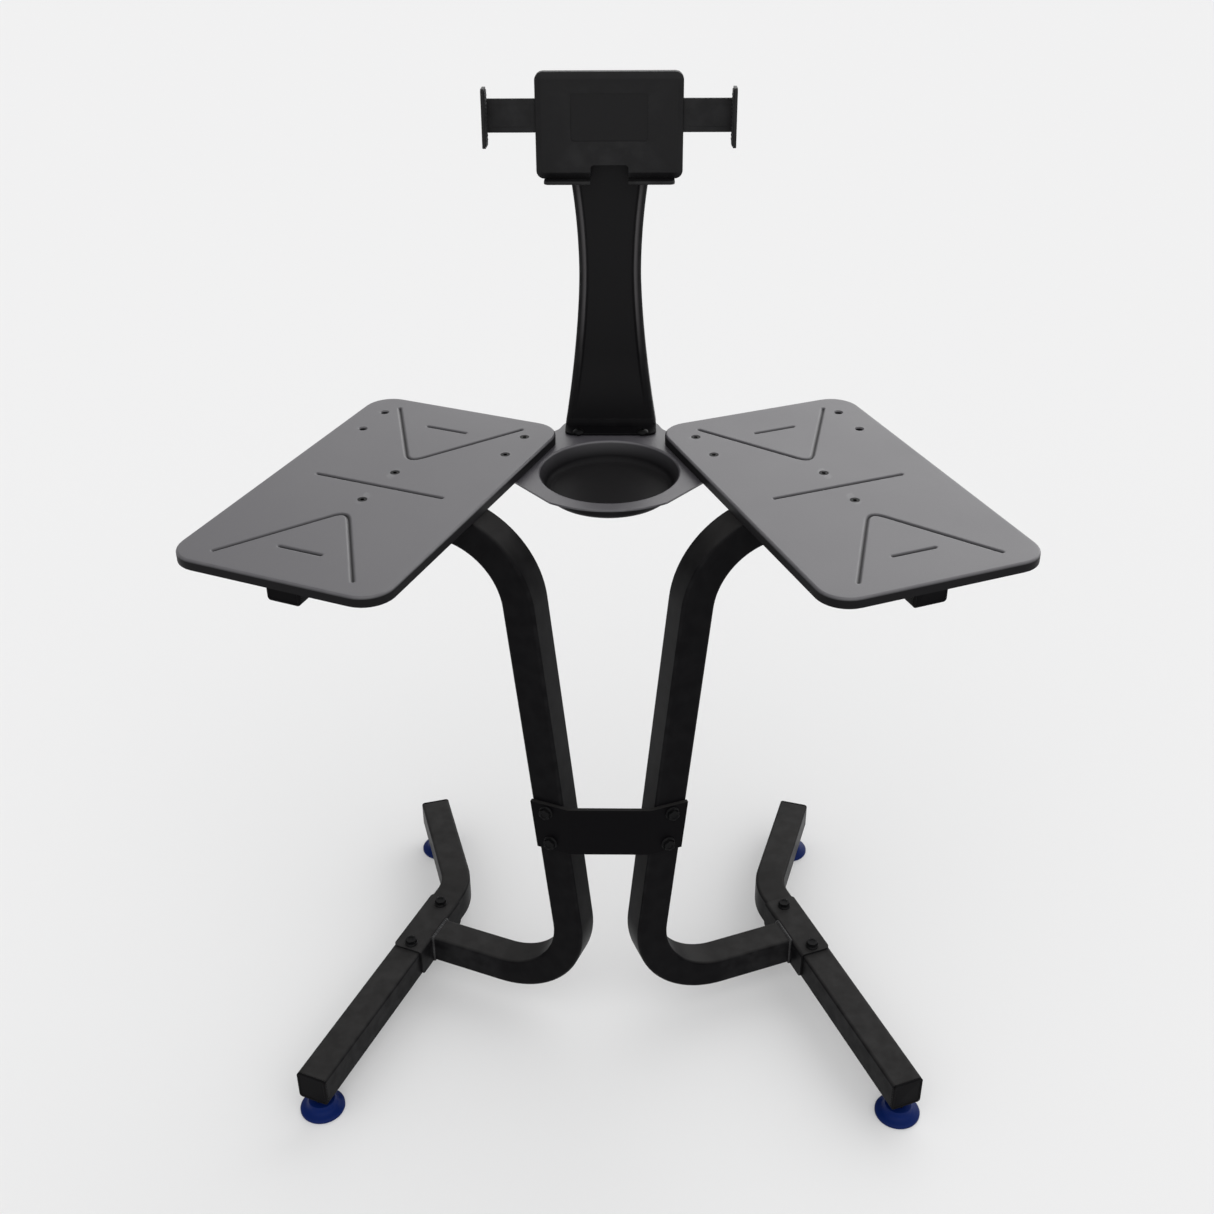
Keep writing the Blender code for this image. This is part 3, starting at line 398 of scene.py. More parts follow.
def carved(builder, tools, operation="DIFFERENCE"):
    """A bmesh with others cut out of it, or welded on."""
    mesh = bpy.data.meshes.new("carved")
    builder.to_mesh(mesh)
    builder.free()
    for tool in tools:
        tool_mesh = bpy.data.meshes.new("tool")
        tool.to_mesh(tool_mesh)
        tool.free()
        cutter = bpy.data.objects.new("tool", tool_mesh)
        holder = bpy.data.objects.new("carved", mesh)
        for item in (cutter, holder):
            bpy.context.scene.collection.objects.link(item)
        modifier = holder.modifiers.new("Boolean", "BOOLEAN")
        modifier.operation = operation
        modifier.solver = "EXACT"
        modifier.object = cutter
        graph = bpy.context.evaluated_depsgraph_get()
        mesh = bpy.data.meshes.new_from_object(holder.evaluated_get(graph), depsgraph=graph)
        for item in (cutter, holder):
            bpy.data.objects.remove(item, do_unlink=True)
    result = bmesh.new()
    result.from_mesh(mesh)
    bpy.data.meshes.remove(mesh)
    return result


def walled(builder, thickness):
    """An open skin given its thickness, inwards."""
    mesh = bpy.data.meshes.new("skin")
    builder.to_mesh(mesh)
    builder.free()
    holder = bpy.data.objects.new("skin", mesh)
    bpy.context.scene.collection.objects.link(holder)
    wall(holder, thickness)
    graph = bpy.context.evaluated_depsgraph_get()
    made = bpy.data.meshes.new_from_object(holder.evaluated_get(graph), depsgraph=graph)
    bpy.data.objects.remove(holder, do_unlink=True)
    result = bmesh.new()
    result.from_mesh(made)
    bpy.data.meshes.remove(made)
    return result


def merged_copy(node):
    """A CAD node's solid with its loose triangles merged into flat faces."""
    builder = bmesh.new()
    builder.from_mesh(frame["nodes"][node].data)
    bmesh.ops.remove_doubles(builder, verts=builder.verts, dist=0.00001)
    bmesh.ops.dissolve_limit(builder, angle_limit=radians(0.5), verts=builder.verts,
                             edges=builder.edges)
    return builder


def drills(places, radius, low, high, sink=0.0, sides=32):
    """Round cutters at (x, y) places. A sink widens each towards its top."""
    tools = []
    for x, y in places:
        drill = turned([(0, high), (radius + sink * 2, high), (radius, high - sink * 2),
                        (radius, low), (0, low)], sides) if sink else rod(radius, low, high, sides)
        tools.append(placed(drill, Matrix.Translation((x, y, 0))))
    return [joined(tools)]


def section_ring(builder, size, corner):
    """The rounded square section of a tube, across +Y, as a ring of edges."""
    half = size / 2
    verts = [builder.verts.new((x, 0, z)) for x, z in rectangle(-half, half, -half, half)]
    builder.faces.new(verts)
    bevelled(builder, verts, corner, 5, "VERTICES")
    edges = builder.edges[:]
    bmesh.ops.delete(builder, geom=builder.faces[:], context="FACES_ONLY")
    return edges


def bent_tube(size, corner, start, heading, legs):
    """The skin of a square tube in the XY plane: legs are straight lengths and (radius, turn)."""
    builder = bmesh.new()
    edges = section_ring(builder, size, corner)
    place = Matrix.Translation((*start, 0)) @ Matrix.Rotation(heading - pi / 2, 4, "Z")
    bmesh.ops.transform(builder, matrix=place, verts=builder.verts)
    here = Vector((*start, 0))
    for leg in legs:
        ahead = Vector((cos(heading), sin(heading), 0))
        if isinstance(leg, tuple):
            radius, angle = leg
            aside = UP.cross(ahead) * (radius if angle > 0 else -radius)
            centre = here + aside
            verts = list({vert for edge in edges for vert in edge.verts})
            steps = max(3, round(abs(angle) / radians(4)))
            swept = bmesh.ops.spin(builder, geom=edges + verts, cent=centre, axis=UP, angle=angle,
                                   steps=steps, use_duplicate=False)
            edges = new_edges(swept, "geom_last")
            here = centre + Matrix.Rotation(angle, 3, "Z") @ -aside
            heading += angle
        else:
            verts, edges = grown_ring(builder, edges)
            bmesh.ops.translate(builder, vec=ahead * leg, verts=verts)
            here = here + ahead * leg
    bmesh.ops.remove_doubles(builder, verts=builder.verts, dist=MERGE)
    return faced(builder, height_of)


# --- Finishing a piece -------------------------------------------------------------------------

def wall(piece, thickness):
    """Give an open skin its thickness, inwards."""
    modifier = piece.modifiers.new("Wall", "SOLIDIFY")
    modifier.thickness = thickness
    modifier.offset = -1
    modifier.use_even_offset = True


def add_piece(name, builder, finish, slot, body="root", nodes=(), sheet=0.0):
    """Make a bmesh a piece of the stand: its finish, its body and the CAD nodes it stands for."""
    mesh = bpy.data.meshes.new(name)
    builder.to_mesh(mesh)
    builder.free()
    mesh.shade_smooth()
    mesh.set_sharp_from_angle(angle=radians(38))
    mesh.materials.append(bpy.data.materials[finish])
    piece = bpy.data.objects.new(name, mesh)
    bpy.context.scene.collection.objects.link(piece)
    if sheet:
        wall(piece, sheet)
    weighted = piece.modifiers.new("Even shading", "WEIGHTED_NORMAL")
    weighted.keep_sharp = True
    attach(piece, body)
    if nodes:
        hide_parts(*nodes)


def on_both_sides(name, build, finish, slot, body="root", nodes=(), **options):
    """Place a right-hand piece and its mirror: {side} in a name stands for right or left."""
    for side in ("right", "left"):
        builder = placed(build(), SIDE)
        if side == "left":
            mirrored(builder)
        add_piece(name.format(side=side), builder, finish, slot, body.format(side=side),
                  [node.format(side=side) for node in nodes], **options)


# --- Shader groups -----------------------------------------------------------------------------

def new_group(name, inputs, outputs):
    """A shader node group with named sockets: inputs are (name, kind, default)."""
    tree = bpy.data.node_groups.new(name, "ShaderNodeTree")
    for label, kind, default in inputs:
        socket = tree.interface.new_socket(label, in_out="INPUT", socket_type=kind)
        if default is not None:
            socket.default_value = default
    for label, kind in outputs:
        tree.interface.new_socket(label, in_out="OUTPUT", socket_type=kind)
    return tree, tree.nodes.new("NodeGroupInput"), tree.nodes.new("NodeGroupOutput")


def feed(tree, socket, value):
    """Link a socket to another, or give it a value."""
    if isinstance(value, bpy.types.NodeSocket):
        tree.links.new(value, socket)
    else:
        socket.default_value = value


def math_node(tree, operation, first, second):
    """A Math node fed by sockets or numbers."""
    node = tree.nodes.new("ShaderNodeMath")
    node.operation = operation
    for socket, value in zip(node.inputs, (first, second)):
        feed(tree, socket, value)
    return node.outputs[0]


def noise_node(tree, vector, scale, detail, roughness=0.5):
    """A noise texture read at a scale, which may be a socket."""
    node = tree.nodes.new("ShaderNodeTexNoise")
    node.inputs["Detail"].default_value = detail
    node.inputs["Roughness"].default_value = roughness
    tree.links.new(vector, node.inputs["Vector"])
    feed(tree, node.inputs["Scale"], scale)
    return node.outputs["Fac"]


def mix_node(tree, factor, first, second):
    """A colour mix."""
    node = tree.nodes.new("ShaderNodeMix")
    node.data_type = "RGBA"
    tree.links.new(factor, node.inputs[0])
    for index, value in ((6, first), (7, second)):
        feed(tree, node.inputs[index], value)
    return node.outputs[2]


def range_node(tree, value, from_low, from_high, to_low, to_high):
    """A clamped Map Range."""
    node = tree.nodes.new("ShaderNodeMapRange")
    node.clamp = True
    tree.links.new(value, node.inputs["Value"])
    for label, number in (("From Min", from_low), ("From Max", from_high),
                          ("To Min", to_low), ("To Max", to_high)):
        feed(tree, node.inputs[label], number)
    return node.outputs["Result"]


def make_grain_group():
    """Fine grain of a powder coat or a moulded texture: mottled colour, sheen and height."""
    tree, given, result = new_group(
        "fine_grain",
        [("Colour", "NodeSocketColor", (0.02, 0.02, 0.02, 1)),
         ("Grain", "NodeSocketFloat", 0.0008), ("Mottle", "NodeSocketFloat", 0.25),
         ("Roughness", "NodeSocketFloat", 0.5), ("Pits", "NodeSocketFloat", 0.5)],
        [("Colour", "NodeSocketColor"), ("Roughness", "NodeSocketFloat"),
         ("Height", "NodeSocketFloat")])
    place = tree.nodes.new("ShaderNodeTexCoord").outputs["Object"]
    scale = math_node(tree, "DIVIDE", 1.0, given.outputs["Grain"])
    fine = noise_node(tree, place, scale, 3, 0.6)
    cells = tree.nodes.new("ShaderNodeTexVoronoi")
    tree.links.new(place, cells.inputs["Vector"])
    tree.links.new(scale, cells.inputs["Scale"])
    pits = math_node(tree, "MULTIPLY", cells.outputs["Distance"], given.outputs["Pits"])
    tree.links.new(math_node(tree, "ADD", fine, pits), result.inputs["Height"])
    broad = noise_node(tree, place, 9.0, 4, 0.55)
    specks = range_node(tree, fine, 0.52, 0.72, 0.0, 1.0)
    clouds = range_node(tree, broad, 0.3, 0.7, 0.0, 0.5)
    shift = math_node(tree, "MULTIPLY", math_node(tree, "ADD", specks, clouds),
                      given.outputs["Mottle"])
    lighter = tree.nodes.new("ShaderNodeVectorMath")
    lighter.operation = "MULTIPLY_ADD"
    tree.links.new(given.outputs["Colour"], lighter.inputs[0])
    lighter.inputs[1].default_value = (1.9, 1.9, 1.9)
    lighter.inputs[2].default_value = (0.0015, 0.0015, 0.0015)
    tree.links.new(mix_node(tree, shift, given.outputs["Colour"], lighter.outputs[0]),
                   result.inputs["Colour"])
    uneven = math_node(tree, "MULTIPLY", math_node(tree, "SUBTRACT", broad, 0.5), 0.09)
    tree.links.new(math_node(tree, "ADD", given.outputs["Roughness"], uneven),
                   result.inputs["Roughness"])


def make_wear_and_highlight_group():
    """Rubbed edges with a painted edge highlight: lighter and smoother where the surface is sharply
    convex.
    """
    tree, given, result = new_group(
        "edge_wear_and_highlight",
        [("Colour", "NodeSocketColor", (0.02, 0.02, 0.02, 1)),
         ("Worn And Lit Colour", "NodeSocketColor", (0.12, 0.12, 0.12, 1)),
         ("Roughness", "NodeSocketFloat", 0.5), ("Amount", "NodeSocketFloat", 0.5)],
        [("Colour", "NodeSocketColor"), ("Roughness", "NodeSocketFloat")])
    place = tree.nodes.new("ShaderNodeTexCoord").outputs["Object"]
    sharpness = tree.nodes.new("ShaderNodeNewGeometry").outputs["Pointiness"]
    patches = noise_node(tree, place, 60.0, 4)
    raised = range_node(tree, sharpness, 0.505, 0.545, 0.0, 1.0)
    broken = range_node(tree, patches, 0.35, 0.65, 0.25, 1.0)
    mask = math_node(tree, "MULTIPLY", math_node(tree, "MULTIPLY", raised, broken),
                     given.outputs["Amount"])
    tree.links.new(mix_node(tree, mask, given.outputs["Colour"], given.outputs["Worn And Lit Colour"]),
                   result.inputs["Colour"])
    smoother = math_node(tree, "MULTIPLY", mask, 0.12)
    tree.links.new(math_node(tree, "SUBTRACT", given.outputs["Roughness"], smoother),
                   result.inputs["Roughness"])


def make_dust_and_top_light_group():
    """A light dusting and a painted top light, one lighter colour, on what faces up."""
    tree, given, result = new_group(
        "dust_and_top_light",
        [("Colour", "NodeSocketColor", (0.02, 0.02, 0.02, 1)),
         ("Roughness", "NodeSocketFloat", 0.5), ("Amount", "NodeSocketFloat", 0.1)],
        [("Colour", "NodeSocketColor"), ("Roughness", "NodeSocketFloat")])
    place = tree.nodes.new("ShaderNodeTexCoord").outputs["Object"]
    facing = tree.nodes.new("ShaderNodeSeparateXYZ")
    tree.links.new(tree.nodes.new("ShaderNodeNewGeometry").outputs["Normal"], facing.inputs[0])
    upward = range_node(tree, facing.outputs["Z"], 0.5, 1.0, 0.0, 1.0)
    drift = range_node(tree, noise_node(tree, place, 14.0, 5, 0.65), 0.30, 0.75, 0.65, 1.0)
    mask = math_node(tree, "MULTIPLY", math_node(tree, "MULTIPLY", upward, drift),
                     given.outputs["Amount"])
    tree.links.new(mix_node(tree, mask, given.outputs["Colour"], (0.30, 0.29, 0.28, 1)),
                   result.inputs["Colour"])
    rougher = math_node(tree, "MULTIPLY", mask, 0.5)
    tree.links.new(math_node(tree, "ADD", given.outputs["Roughness"], rougher),
                   result.inputs["Roughness"])


# --- Materials ---------------------------------------------------------------------------------

PAINTED_HIGHLIGHT_ATTRIBUTE = "painted_highlight"                 # how much a vertex gets of the painted highlight line along a raised edge
SHADED = "shaded"               # how much painted shade a vertex gets: in a groove, in the dish and on a skirt below a rounded edge


def place_group(tree, name, values):
    """A group node with its values; a socket among them is linked."""
    node = tree.nodes.new("ShaderNodeGroup")
    node.node_tree = bpy.data.node_groups[name]
    for label, value in values.items():
        feed(tree, node.inputs[label], value)
    return node


def coated(name, base, grain, mottle, roughness, bump, wear_and_highlight=0.4, worn_and_lit=0.10, dust_and_top_light=0.0,
           specular=0.5):
    """A material with a fine grain, painted shade, painted highlight lines, rubbed edges with a
    painted edge highlight and, where asked, a dusting with a painted top light.
    """
    made = bpy.data.materials.new(name)
    made.use_nodes = True
    tree = made.node_tree
    shader = tree.nodes["Principled BSDF"]
    fine = place_group(tree, "fine_grain", {"Colour": (*base, 1), "Grain": grain,
                                            "Mottle": mottle, "Roughness": roughness})
    # The shaded attribute paints shade: near black and a weaker reflection in grooves, in the dish
    # and on skirts.
    pressed = tree.nodes.new("ShaderNodeAttribute")
    pressed.attribute_name = SHADED
    shaded = math_node(tree, "MULTIPLY", pressed.outputs["Fac"], 0.9)
    tree.links.new(range_node(tree, pressed.outputs["Fac"], 0.0, 1.0, specular, specular * 0.05),
                   shader.inputs["Specular IOR Level"])
    painted_shade_colour = mix_node(tree, shaded, fine.outputs["Colour"], (0.004, 0.004, 0.004, 1))
    # The highlight attribute paints a lighter line along the column's raised edges: a painted
    # highlight.
    painted_highlight = tree.nodes.new("ShaderNodeAttribute")
    painted_highlight.attribute_name = PAINTED_HIGHLIGHT_ATTRIBUTE
    bright = mix_node(tree, painted_highlight.outputs["Fac"], painted_shade_colour, (0.055, 0.052, 0.054, 1))
    # Sharp convex edges are lightened for rubbing and a painted edge highlight, less where shade is
    # painted.
    worn_and_lit_node = place_group(tree, "edge_wear_and_highlight", {
        "Colour": bright, "Worn And Lit Colour": (worn_and_lit, worn_and_lit, worn_and_lit * 1.03, 1),
        "Roughness": fine.outputs["Roughness"],
        "Amount": range_node(tree, pressed.outputs["Fac"], 0.0, 1.0, wear_and_highlight, 0.0)})
    last = worn_and_lit_node
    # Faces that look up are lightened for a dusting and a painted top light.
    if dust_and_top_light:
        last = place_group(tree, "dust_and_top_light", {"Colour": worn_and_lit_node.outputs["Colour"],
                                          "Roughness": worn_and_lit_node.outputs["Roughness"],
                                          "Amount": dust_and_top_light})
    tree.links.new(last.outputs["Colour"], shader.inputs["Base Color"])
    tree.links.new(last.outputs["Roughness"], shader.inputs["Roughness"])
    relief = tree.nodes.new("ShaderNodeBump")
    relief.inputs["Strength"].default_value = 1.0
    relief.inputs["Distance"].default_value = bump
    tree.links.new(fine.outputs["Height"], relief.inputs["Height"])
    tree.links.new(relief.outputs["Normal"], shader.inputs["Normal"])


def make_room(light):
    """A soft studio room with a bright backdrop behind the stand and a wide lamp before it."""
    world = bpy.data.worlds.new("studio")
    world.use_nodes = True
    tree = world.node_tree
    direction = tree.nodes.new("ShaderNodeTexCoord").outputs["Generated"]
    strength = light.room
    for aim, gain, edge in ((light.backdrop_aim, light.backdrop, BACKDROP_EDGE),
                            (light.lamp_aim, light.lamp, LAMP_EDGE)):
        toward = tree.nodes.new("ShaderNodeVectorMath")
        toward.operation = "DOT_PRODUCT"
        tree.links.new(direction, toward.inputs[0])
        toward.inputs[1].default_value = Vector(aim).normalized()
        glow = range_node(tree, toward.outputs["Value"], edge, 1.0, 0.0, gain)
        strength = math_node(tree, "ADD", glow, strength)
    seen = tree.nodes.new("ShaderNodeLightPath").outputs["Is Camera Ray"]
    strength = range_node(tree, seen, 0.0, 1.0, strength, light.background)
    tree.links.new(strength, tree.nodes["Background"].inputs["Strength"])
    tree.nodes["Background"].inputs["Color"].default_value = (1, 1, 1, 1)
    return world


def make_materials(colours):
    """Every finish of the stand."""
    make_grain_group()
    make_wear_and_highlight_group()
    make_dust_and_top_light_group()
    # The rubbing and dusting amounts below also set a painted edge highlight and a painted top
    # light.
    coated("tube_coat", colours.tube, 0.0009, 0.06, 0.38, 0.00003, wear_and_highlight=0.35, worn_and_lit=0.03,
           dust_and_top_light=0.075, specular=0.03)
    coated("tray_coat", colours.tray, 0.0011, 0.14, 0.42, 0.00006, wear_and_highlight=0.3, worn_and_lit=0.16, dust_and_top_light=0.02,
           specular=1.0)
    coated("moulded_plastic", colours.plastic, 0.0006, 0.15, 0.44, 0.00003, wear_and_highlight=0.2, worn_and_lit=0.012,
           specular=0.03)
    coated("bar_coat", colours.tube, 0.0009, 0.05, 0.42, 0.00003, wear_and_highlight=0.0, dust_and_top_light=0.075,
           specular=0.03)
    coated("column_plastic", colours.plastic, 0.0006, 0.15, 0.44, 0.00003, wear_and_highlight=0.6, worn_and_lit=0.04,
           specular=0.12)
    coated("holder_plastic", colours.plastic, 0.0008, 0.2, 0.48, 0.00004, wear_and_highlight=0.2, worn_and_lit=0.035,
           specular=0.18)
    coated("black_oxide", colours.hardware, 0.0004, 0.3, 0.30, 0.00001, wear_and_highlight=0.3, worn_and_lit=0.015,
           specular=0.07)
    coated("pad_rubber", colours.pad, 0.0005, 0.15, 0.36, 0.00002, wear_and_highlight=0.15, worn_and_lit=0.02,
           specular=0.08)
    coated("jaw_rubber", colours.rubber, 0.0004, 0.2, 0.75, 0.00004, wear_and_highlight=0.1, specular=0.2)
    coated("weld_coat", colours.tube, 0.0006, 0.3, 0.36, 0.00004, wear_and_highlight=0.5, worn_and_lit=0.06,
           specular=0.2)


# --- Pieces of a side --------------------------------------------------------------------------

def clamp(value, low, high):
    """A value held between two others."""
    return max(low, min(high, value))


def smooth_step(value):
    """0 to 1 with level ends."""
    value = clamp(value, 0.0, 1.0)
    return value * value * (3 - 2 * value)


def distance_to_run(point, first, last):
    """The distance from a point to a straight run."""
    along = last - first
    share = clamp((point - first).dot(along) / along.length_squared, 0, 1)
    return (point - first - along * share).length


def grip_lines():
    """The grip lines of a tray as straight runs: two V shapes, two dashes and a middle line."""
    leg, apex = Vector((0.084, 0.195)), Vector((0, 0.0658))
    bend = (leg - apex).normalized() * 0.020
    dash_x, dash_y = 0.025, 0.161
    runs = [(Vector((-0.080, 0)), Vector((0.080, 0)))]
    for end in (1, -1):
        runs.append((Vector((-dash_x, end * dash_y)), Vector((dash_x, end * dash_y))))
        turn_points = []
        for step in range(9):
            share = step / 8
            turn_points.append(Vector(((2 * share - 1) * bend.x,
                                       apex.y + bend.y * ((1 - share) ** 2 + share ** 2))))
        line = [Vector((-leg.x, leg.y))] + turn_points + [leg.copy()]
        line = [Vector((point.x, end * point.y)) for point in line]
        runs += list(zip(line, line[1:]))
    return runs


def tray_holes():
    """Every hole in a tray, from the bolts that are in them and their mirror images."""
    plate = [SIDE.inverted() @ middle_of(f"right_plate_bolt_{number}") for number in (1, 2)]
    beam = [SIDE.inverted() @ middle_of(f"right_beam_bolt_{number}") for number in (1, 2)]
    return ([(place.x, place.y) for place in plate + beam]
            + [(-place.x, place.y) for place in plate])


def make_tray():
    """A pressed tray: grip lines, holes, a rounded edge and a skirt."""
    sizes = bpy.context.scene.stand_trays
    half = Vector((TRAY_HIGH.x, TRAY_HIGH.y))
    flat = half - Vector((sizes.edge, sizes.edge))
    corner = sizes.corner - sizes.edge
    core = flat - Vector((corner, corner))
    builder = bmesh.new()
    bmesh.ops.create_grid(builder, x_segments=40, y_segments=72, size=1)
    for vert in builder.verts:
        vert.co = (vert.co.x * flat.x, vert.co.y * flat.y, TRAY_TOP)
    runs = grip_lines()
    near = set()
    for edge in builder.edges:
        middle = ((edge.verts[0].co + edge.verts[1].co) / 2).xy
        if min(distance_to_run(middle, *run) for run in runs) < sizes.groove_width + 0.0045:
            near.add(edge)
    near = {edge for face in {face for edge in near for face in edge.link_faces}
            for edge in face.edges}
    bmesh.ops.subdivide_edges(builder, edges=list(near), cuts=5, use_grid_fill=True)
    # The groove share also gives the painted shade in the grooves.
    groove = builder.verts.layers.float.new(SHADED)
    for vert in builder.verts:
        across = min(distance_to_run(vert.co.xy, *run) for run in runs)
        share = 1 - smooth_step(across * 2 / sizes.groove_width)
        vert.co.z -= sizes.groove_depth * share
        vert[groove] = share
        past = Vector((max(0, abs(vert.co.x) - core.x), max(0, abs(vert.co.y) - core.y)))
        if past.x > 0 and past.y > 0:
            pulled = past * (max(past) / past.length)
            vert.co.x = (core.x + pulled.x) * (1 if vert.co.x > 0 else -1)
            vert.co.y = (core.y + pulled.y) * (1 if vert.co.y > 0 else -1)
    rim = [edge for edge in builder.edges if edge.is_boundary]
    steps = 5
    for step in range(1, steps + 2):
        verts, rim = grown_ring(builder, rim)
        now, before = (pi / 2 * min(index, steps) / steps for index in (step, step - 1))
        out = sizes.edge * (sin(now) - sin(before))
        down = sizes.edge * (cos(before) - cos(now))
        if step > steps:
            down = TRAY_TOP - TRAY_LOW.z - sizes.edge
        for vert in verts:
            inside = Vector((clamp(vert.co.x, -core.x, core.x), clamp(vert.co.y, -core.y, core.y)))
            away = (vert.co.xy - inside).normalized()
            vert.co += Vector((away.x * out, away.y * out, -down))
    builder = walled(faced(builder, area_of), sizes.sheet)
    sink = 0.0013
    builder = carved(builder,
                     drills(tray_holes(), HOLE, TRAY_TOP - 0.008, TRAY_TOP + 0.001, sink))
    tray = joined([builder] + [weld_nut(place) for place in tray_holes()[-2:]])
    # Painted shade below the top face: part way in the groove floors, in full on the skirt.
    return shade_below(tray, TRAY_TOP - 0.0005, 0.0025)


def weld_nut(place):
    """A blind nut welded under a free hole of a tray."""
    under = TRAY_TOP - bpy.context.scene.stand_trays.sheet
    nut = soften(rod(HEX, under - 0.0065, under, 6), 0.0004, 2)
    nut = carved(nut, [rod(HOLE, under - 0.0055, under + 0.001, 24)])
    return placed(nut, Matrix.Translation((*place, 0)))


def make_beam():
    """The square tube under a tray."""
    sizes = bpy.context.scene.stand_tubes
    size = BEAM_HIGH.z - BEAM_LOW.z
    start = ((BEAM_LOW.x + BEAM_HIGH.x) / 2, BEAM_LOW.y)
    tube = bent_tube(size, sizes.corner, start, pi / 2, [BEAM_HIGH.y - BEAM_LOW.y])
    return placed(tube, Matrix.Translation((0, 0, (BEAM_LOW.z + BEAM_HIGH.z) / 2)))


def make_foot():
    """The bent tube on the floor."""
    sizes = bpy.context.scene.stand_tubes
    size = FOOT_HIGH.z - FOOT_LOW.z
    cut_back = sizes.knee_bend * tan(sizes.knee_turn / 2)
    first = sizes.knee_y - cut_back - FOOT_LOW.y
    tube = bent_tube(size, sizes.corner, (FOOT_LOW.x + size / 2, FOOT_LOW.y), pi / 2,
                     [first, (sizes.knee_bend, -sizes.knee_turn),
                      sizes.rear_length - cut_back - CAP_DEPTH])
    return placed(tube, Matrix.Translation((0, 0, (FOOT_LOW.z + FOOT_HIGH.z) / 2)))


def upright_corners():
    """The upright's centre line in its own plane: foot end, two bends' corners, beam end."""
    sizes = bpy.context.scene.stand_tubes
    size = BEAM_HIGH.z - BEAM_LOW.z
    beam_z = (BEAM_LOW.z + BEAM_HIGH.z) / 2
    foot_z = box_in("right_upright", SIDE)[0].z + size / 2

    def centre_x(height):
        return -sizes.upright_reach + sizes.upright_slope * (height - sizes.upright_mid)

    foot_end = box_in("right_foot_bracket", SIDE)[0].x - GAP
    beam_end = BEAM_LOW.x - GAP
    return [Vector((foot_end, foot_z)), Vector((centre_x(foot_z), foot_z)),
            Vector((centre_x(beam_z), beam_z)), Vector((beam_end, beam_z))]


def make_upright():
    """The tube bent like a C."""
    sizes = bpy.context.scene.stand_tubes
    size = BEAM_HIGH.z - BEAM_LOW.z
    foot_end, low_corner, high_corner, beam_end = upright_corners()
    lean = atan(sizes.upright_slope)
    low_turn = pi / 2 + lean
    high_turn = pi / 2 - lean
    bend = sizes.upright_bend
    low_cut = bend * tan(low_turn / 2)
    high_cut = bend * tan(high_turn / 2)
    tube = bent_tube(size, sizes.corner, foot_end, pi, [
        (low_corner - foot_end).length - low_cut, (bend, -low_turn),
        (high_corner - low_corner).length - low_cut - high_cut, (bend, -high_turn),
        (beam_end - high_corner).length - high_cut])
    return placed(tube, Matrix.Rotation(pi / 2, 4, "X"))


def make_bracket():
    """The folded plate on the foot, with rounded corners."""
    low, high = box_in("right_foot_bracket", SIDE)
    sheet, bend, corner = 0.003, 0.005, 0.006
    builder = bmesh.new()
    verts = [builder.verts.new(point) for point in
             ((low.x, low.y, low.z), (low.x, low.y, high.z), (high.x, low.y, high.z))]
    for pair in zip(verts, verts[1:]):
        builder.edges.new(pair)
    bevelled(builder, [verts[1]], bend, 6, "VERTICES")
    grown = bmesh.ops.extrude_edge_only(builder, edges=builder.edges[:])
    bmesh.ops.translate(builder, vec=(0, high.y - low.y, 0), verts=new_verts(grown))
    outer = [vert for vert in builder.verts
             if abs(vert.co.z - low.z) < 0.00001 or abs(vert.co.x - high.x) < 0.00001]
    bevelled(builder, outer, corner, 5, "VERTICES")
    return soften(walled(faced(builder, height_of), sheet), 0.0005, 2, BEND_ANGLE)


def make_end_cap():
    """A moulded plug's flange: rounded outline, a softened rim and a shallow pressed field."""
    sizes = bpy.context.scene.stand_tubes
    half = (BEAM_HIGH.z - BEAM_LOW.z) / 2
    builder = plate(rectangle(-half, half, -half, half), 0, CAP_FLANGE, sizes.corner)
    soften(builder, 0.0009, 3)
    face = max(builder.faces, key=height_of)
    bmesh.ops.inset_region(builder, faces=[face], thickness=0.0018, depth=0,
                           use_even_offset=True)
    bmesh.ops.inset_region(builder, faces=[face], thickness=0.0006, depth=-0.0005,
                           use_even_offset=True)
    return builder


def make_cap(node, heading):
    """An end cap in the side's frame: its face on the far side of the CAD cap's flange."""
    vertices = [SIDE.inverted() @ vert.co for vert in frame["nodes"][node].data.vertices]
    ahead = Vector((cos(heading), sin(heading), 0))
    aside = Vector((-sin(heading), cos(heading), 0))
    reach = max(point.dot(ahead) for point in vertices)
    across = [point.dot(aside) for point in vertices]
    heights = [point.z for point in vertices]
    base = (ahead * (reach - CAP_FLANGE) + aside * (min(across) + max(across)) / 2
            + UP * (min(heights) + max(heights)) / 2)
    place = (Matrix.Translation(base) @ Matrix.Rotation(heading, 4, "Z")
             @ Matrix.Rotation(pi / 2, 4, "Y"))
    return placed(make_end_cap(), place)


def hex_head(radius, low, high):
    """A hex with its corners turned off at the top."""
    builder = rod(radius, low, high, 6)
    corners = turned([(0, high), (radius * 0.86, high), (radius * 1.02, high - radius * 0.10),
                      (radius * 1.02, low - 0.001), (0, low - 0.001)], 48)
    return carved(builder, [corners], "INTERSECT")


def make_hex_bolt(grip=0.012):
    """A flanged hex bolt on its washer: the underside of the washer at z 0."""
    washer = turned([(0, 0.0016), (0.0080, 0.0016), (0.0086, 0.0011), (0.0086, 0.0002),
                     (0.0084, 0), (0, 0)], 40)
    collar = turned([(0, 0.0030), (0.0072, 0.0026), (0.0078, 0.0017), (0.0078, 0.0015),
                     (0, 0.0015)], 40)
    dimple = turned([(0, 0.0086), (0.0046, 0.0086), (0.0040, 0.0064), (0, 0.0062)], 32)
    head = carved(soften(hex_head(HEX, 0.0020, 0.0070), 0.0003, 2), [dimple])
    shank = rod(SHANK, -grip, 0.0010, 20)
    return joined([washer, collar, head, shank])


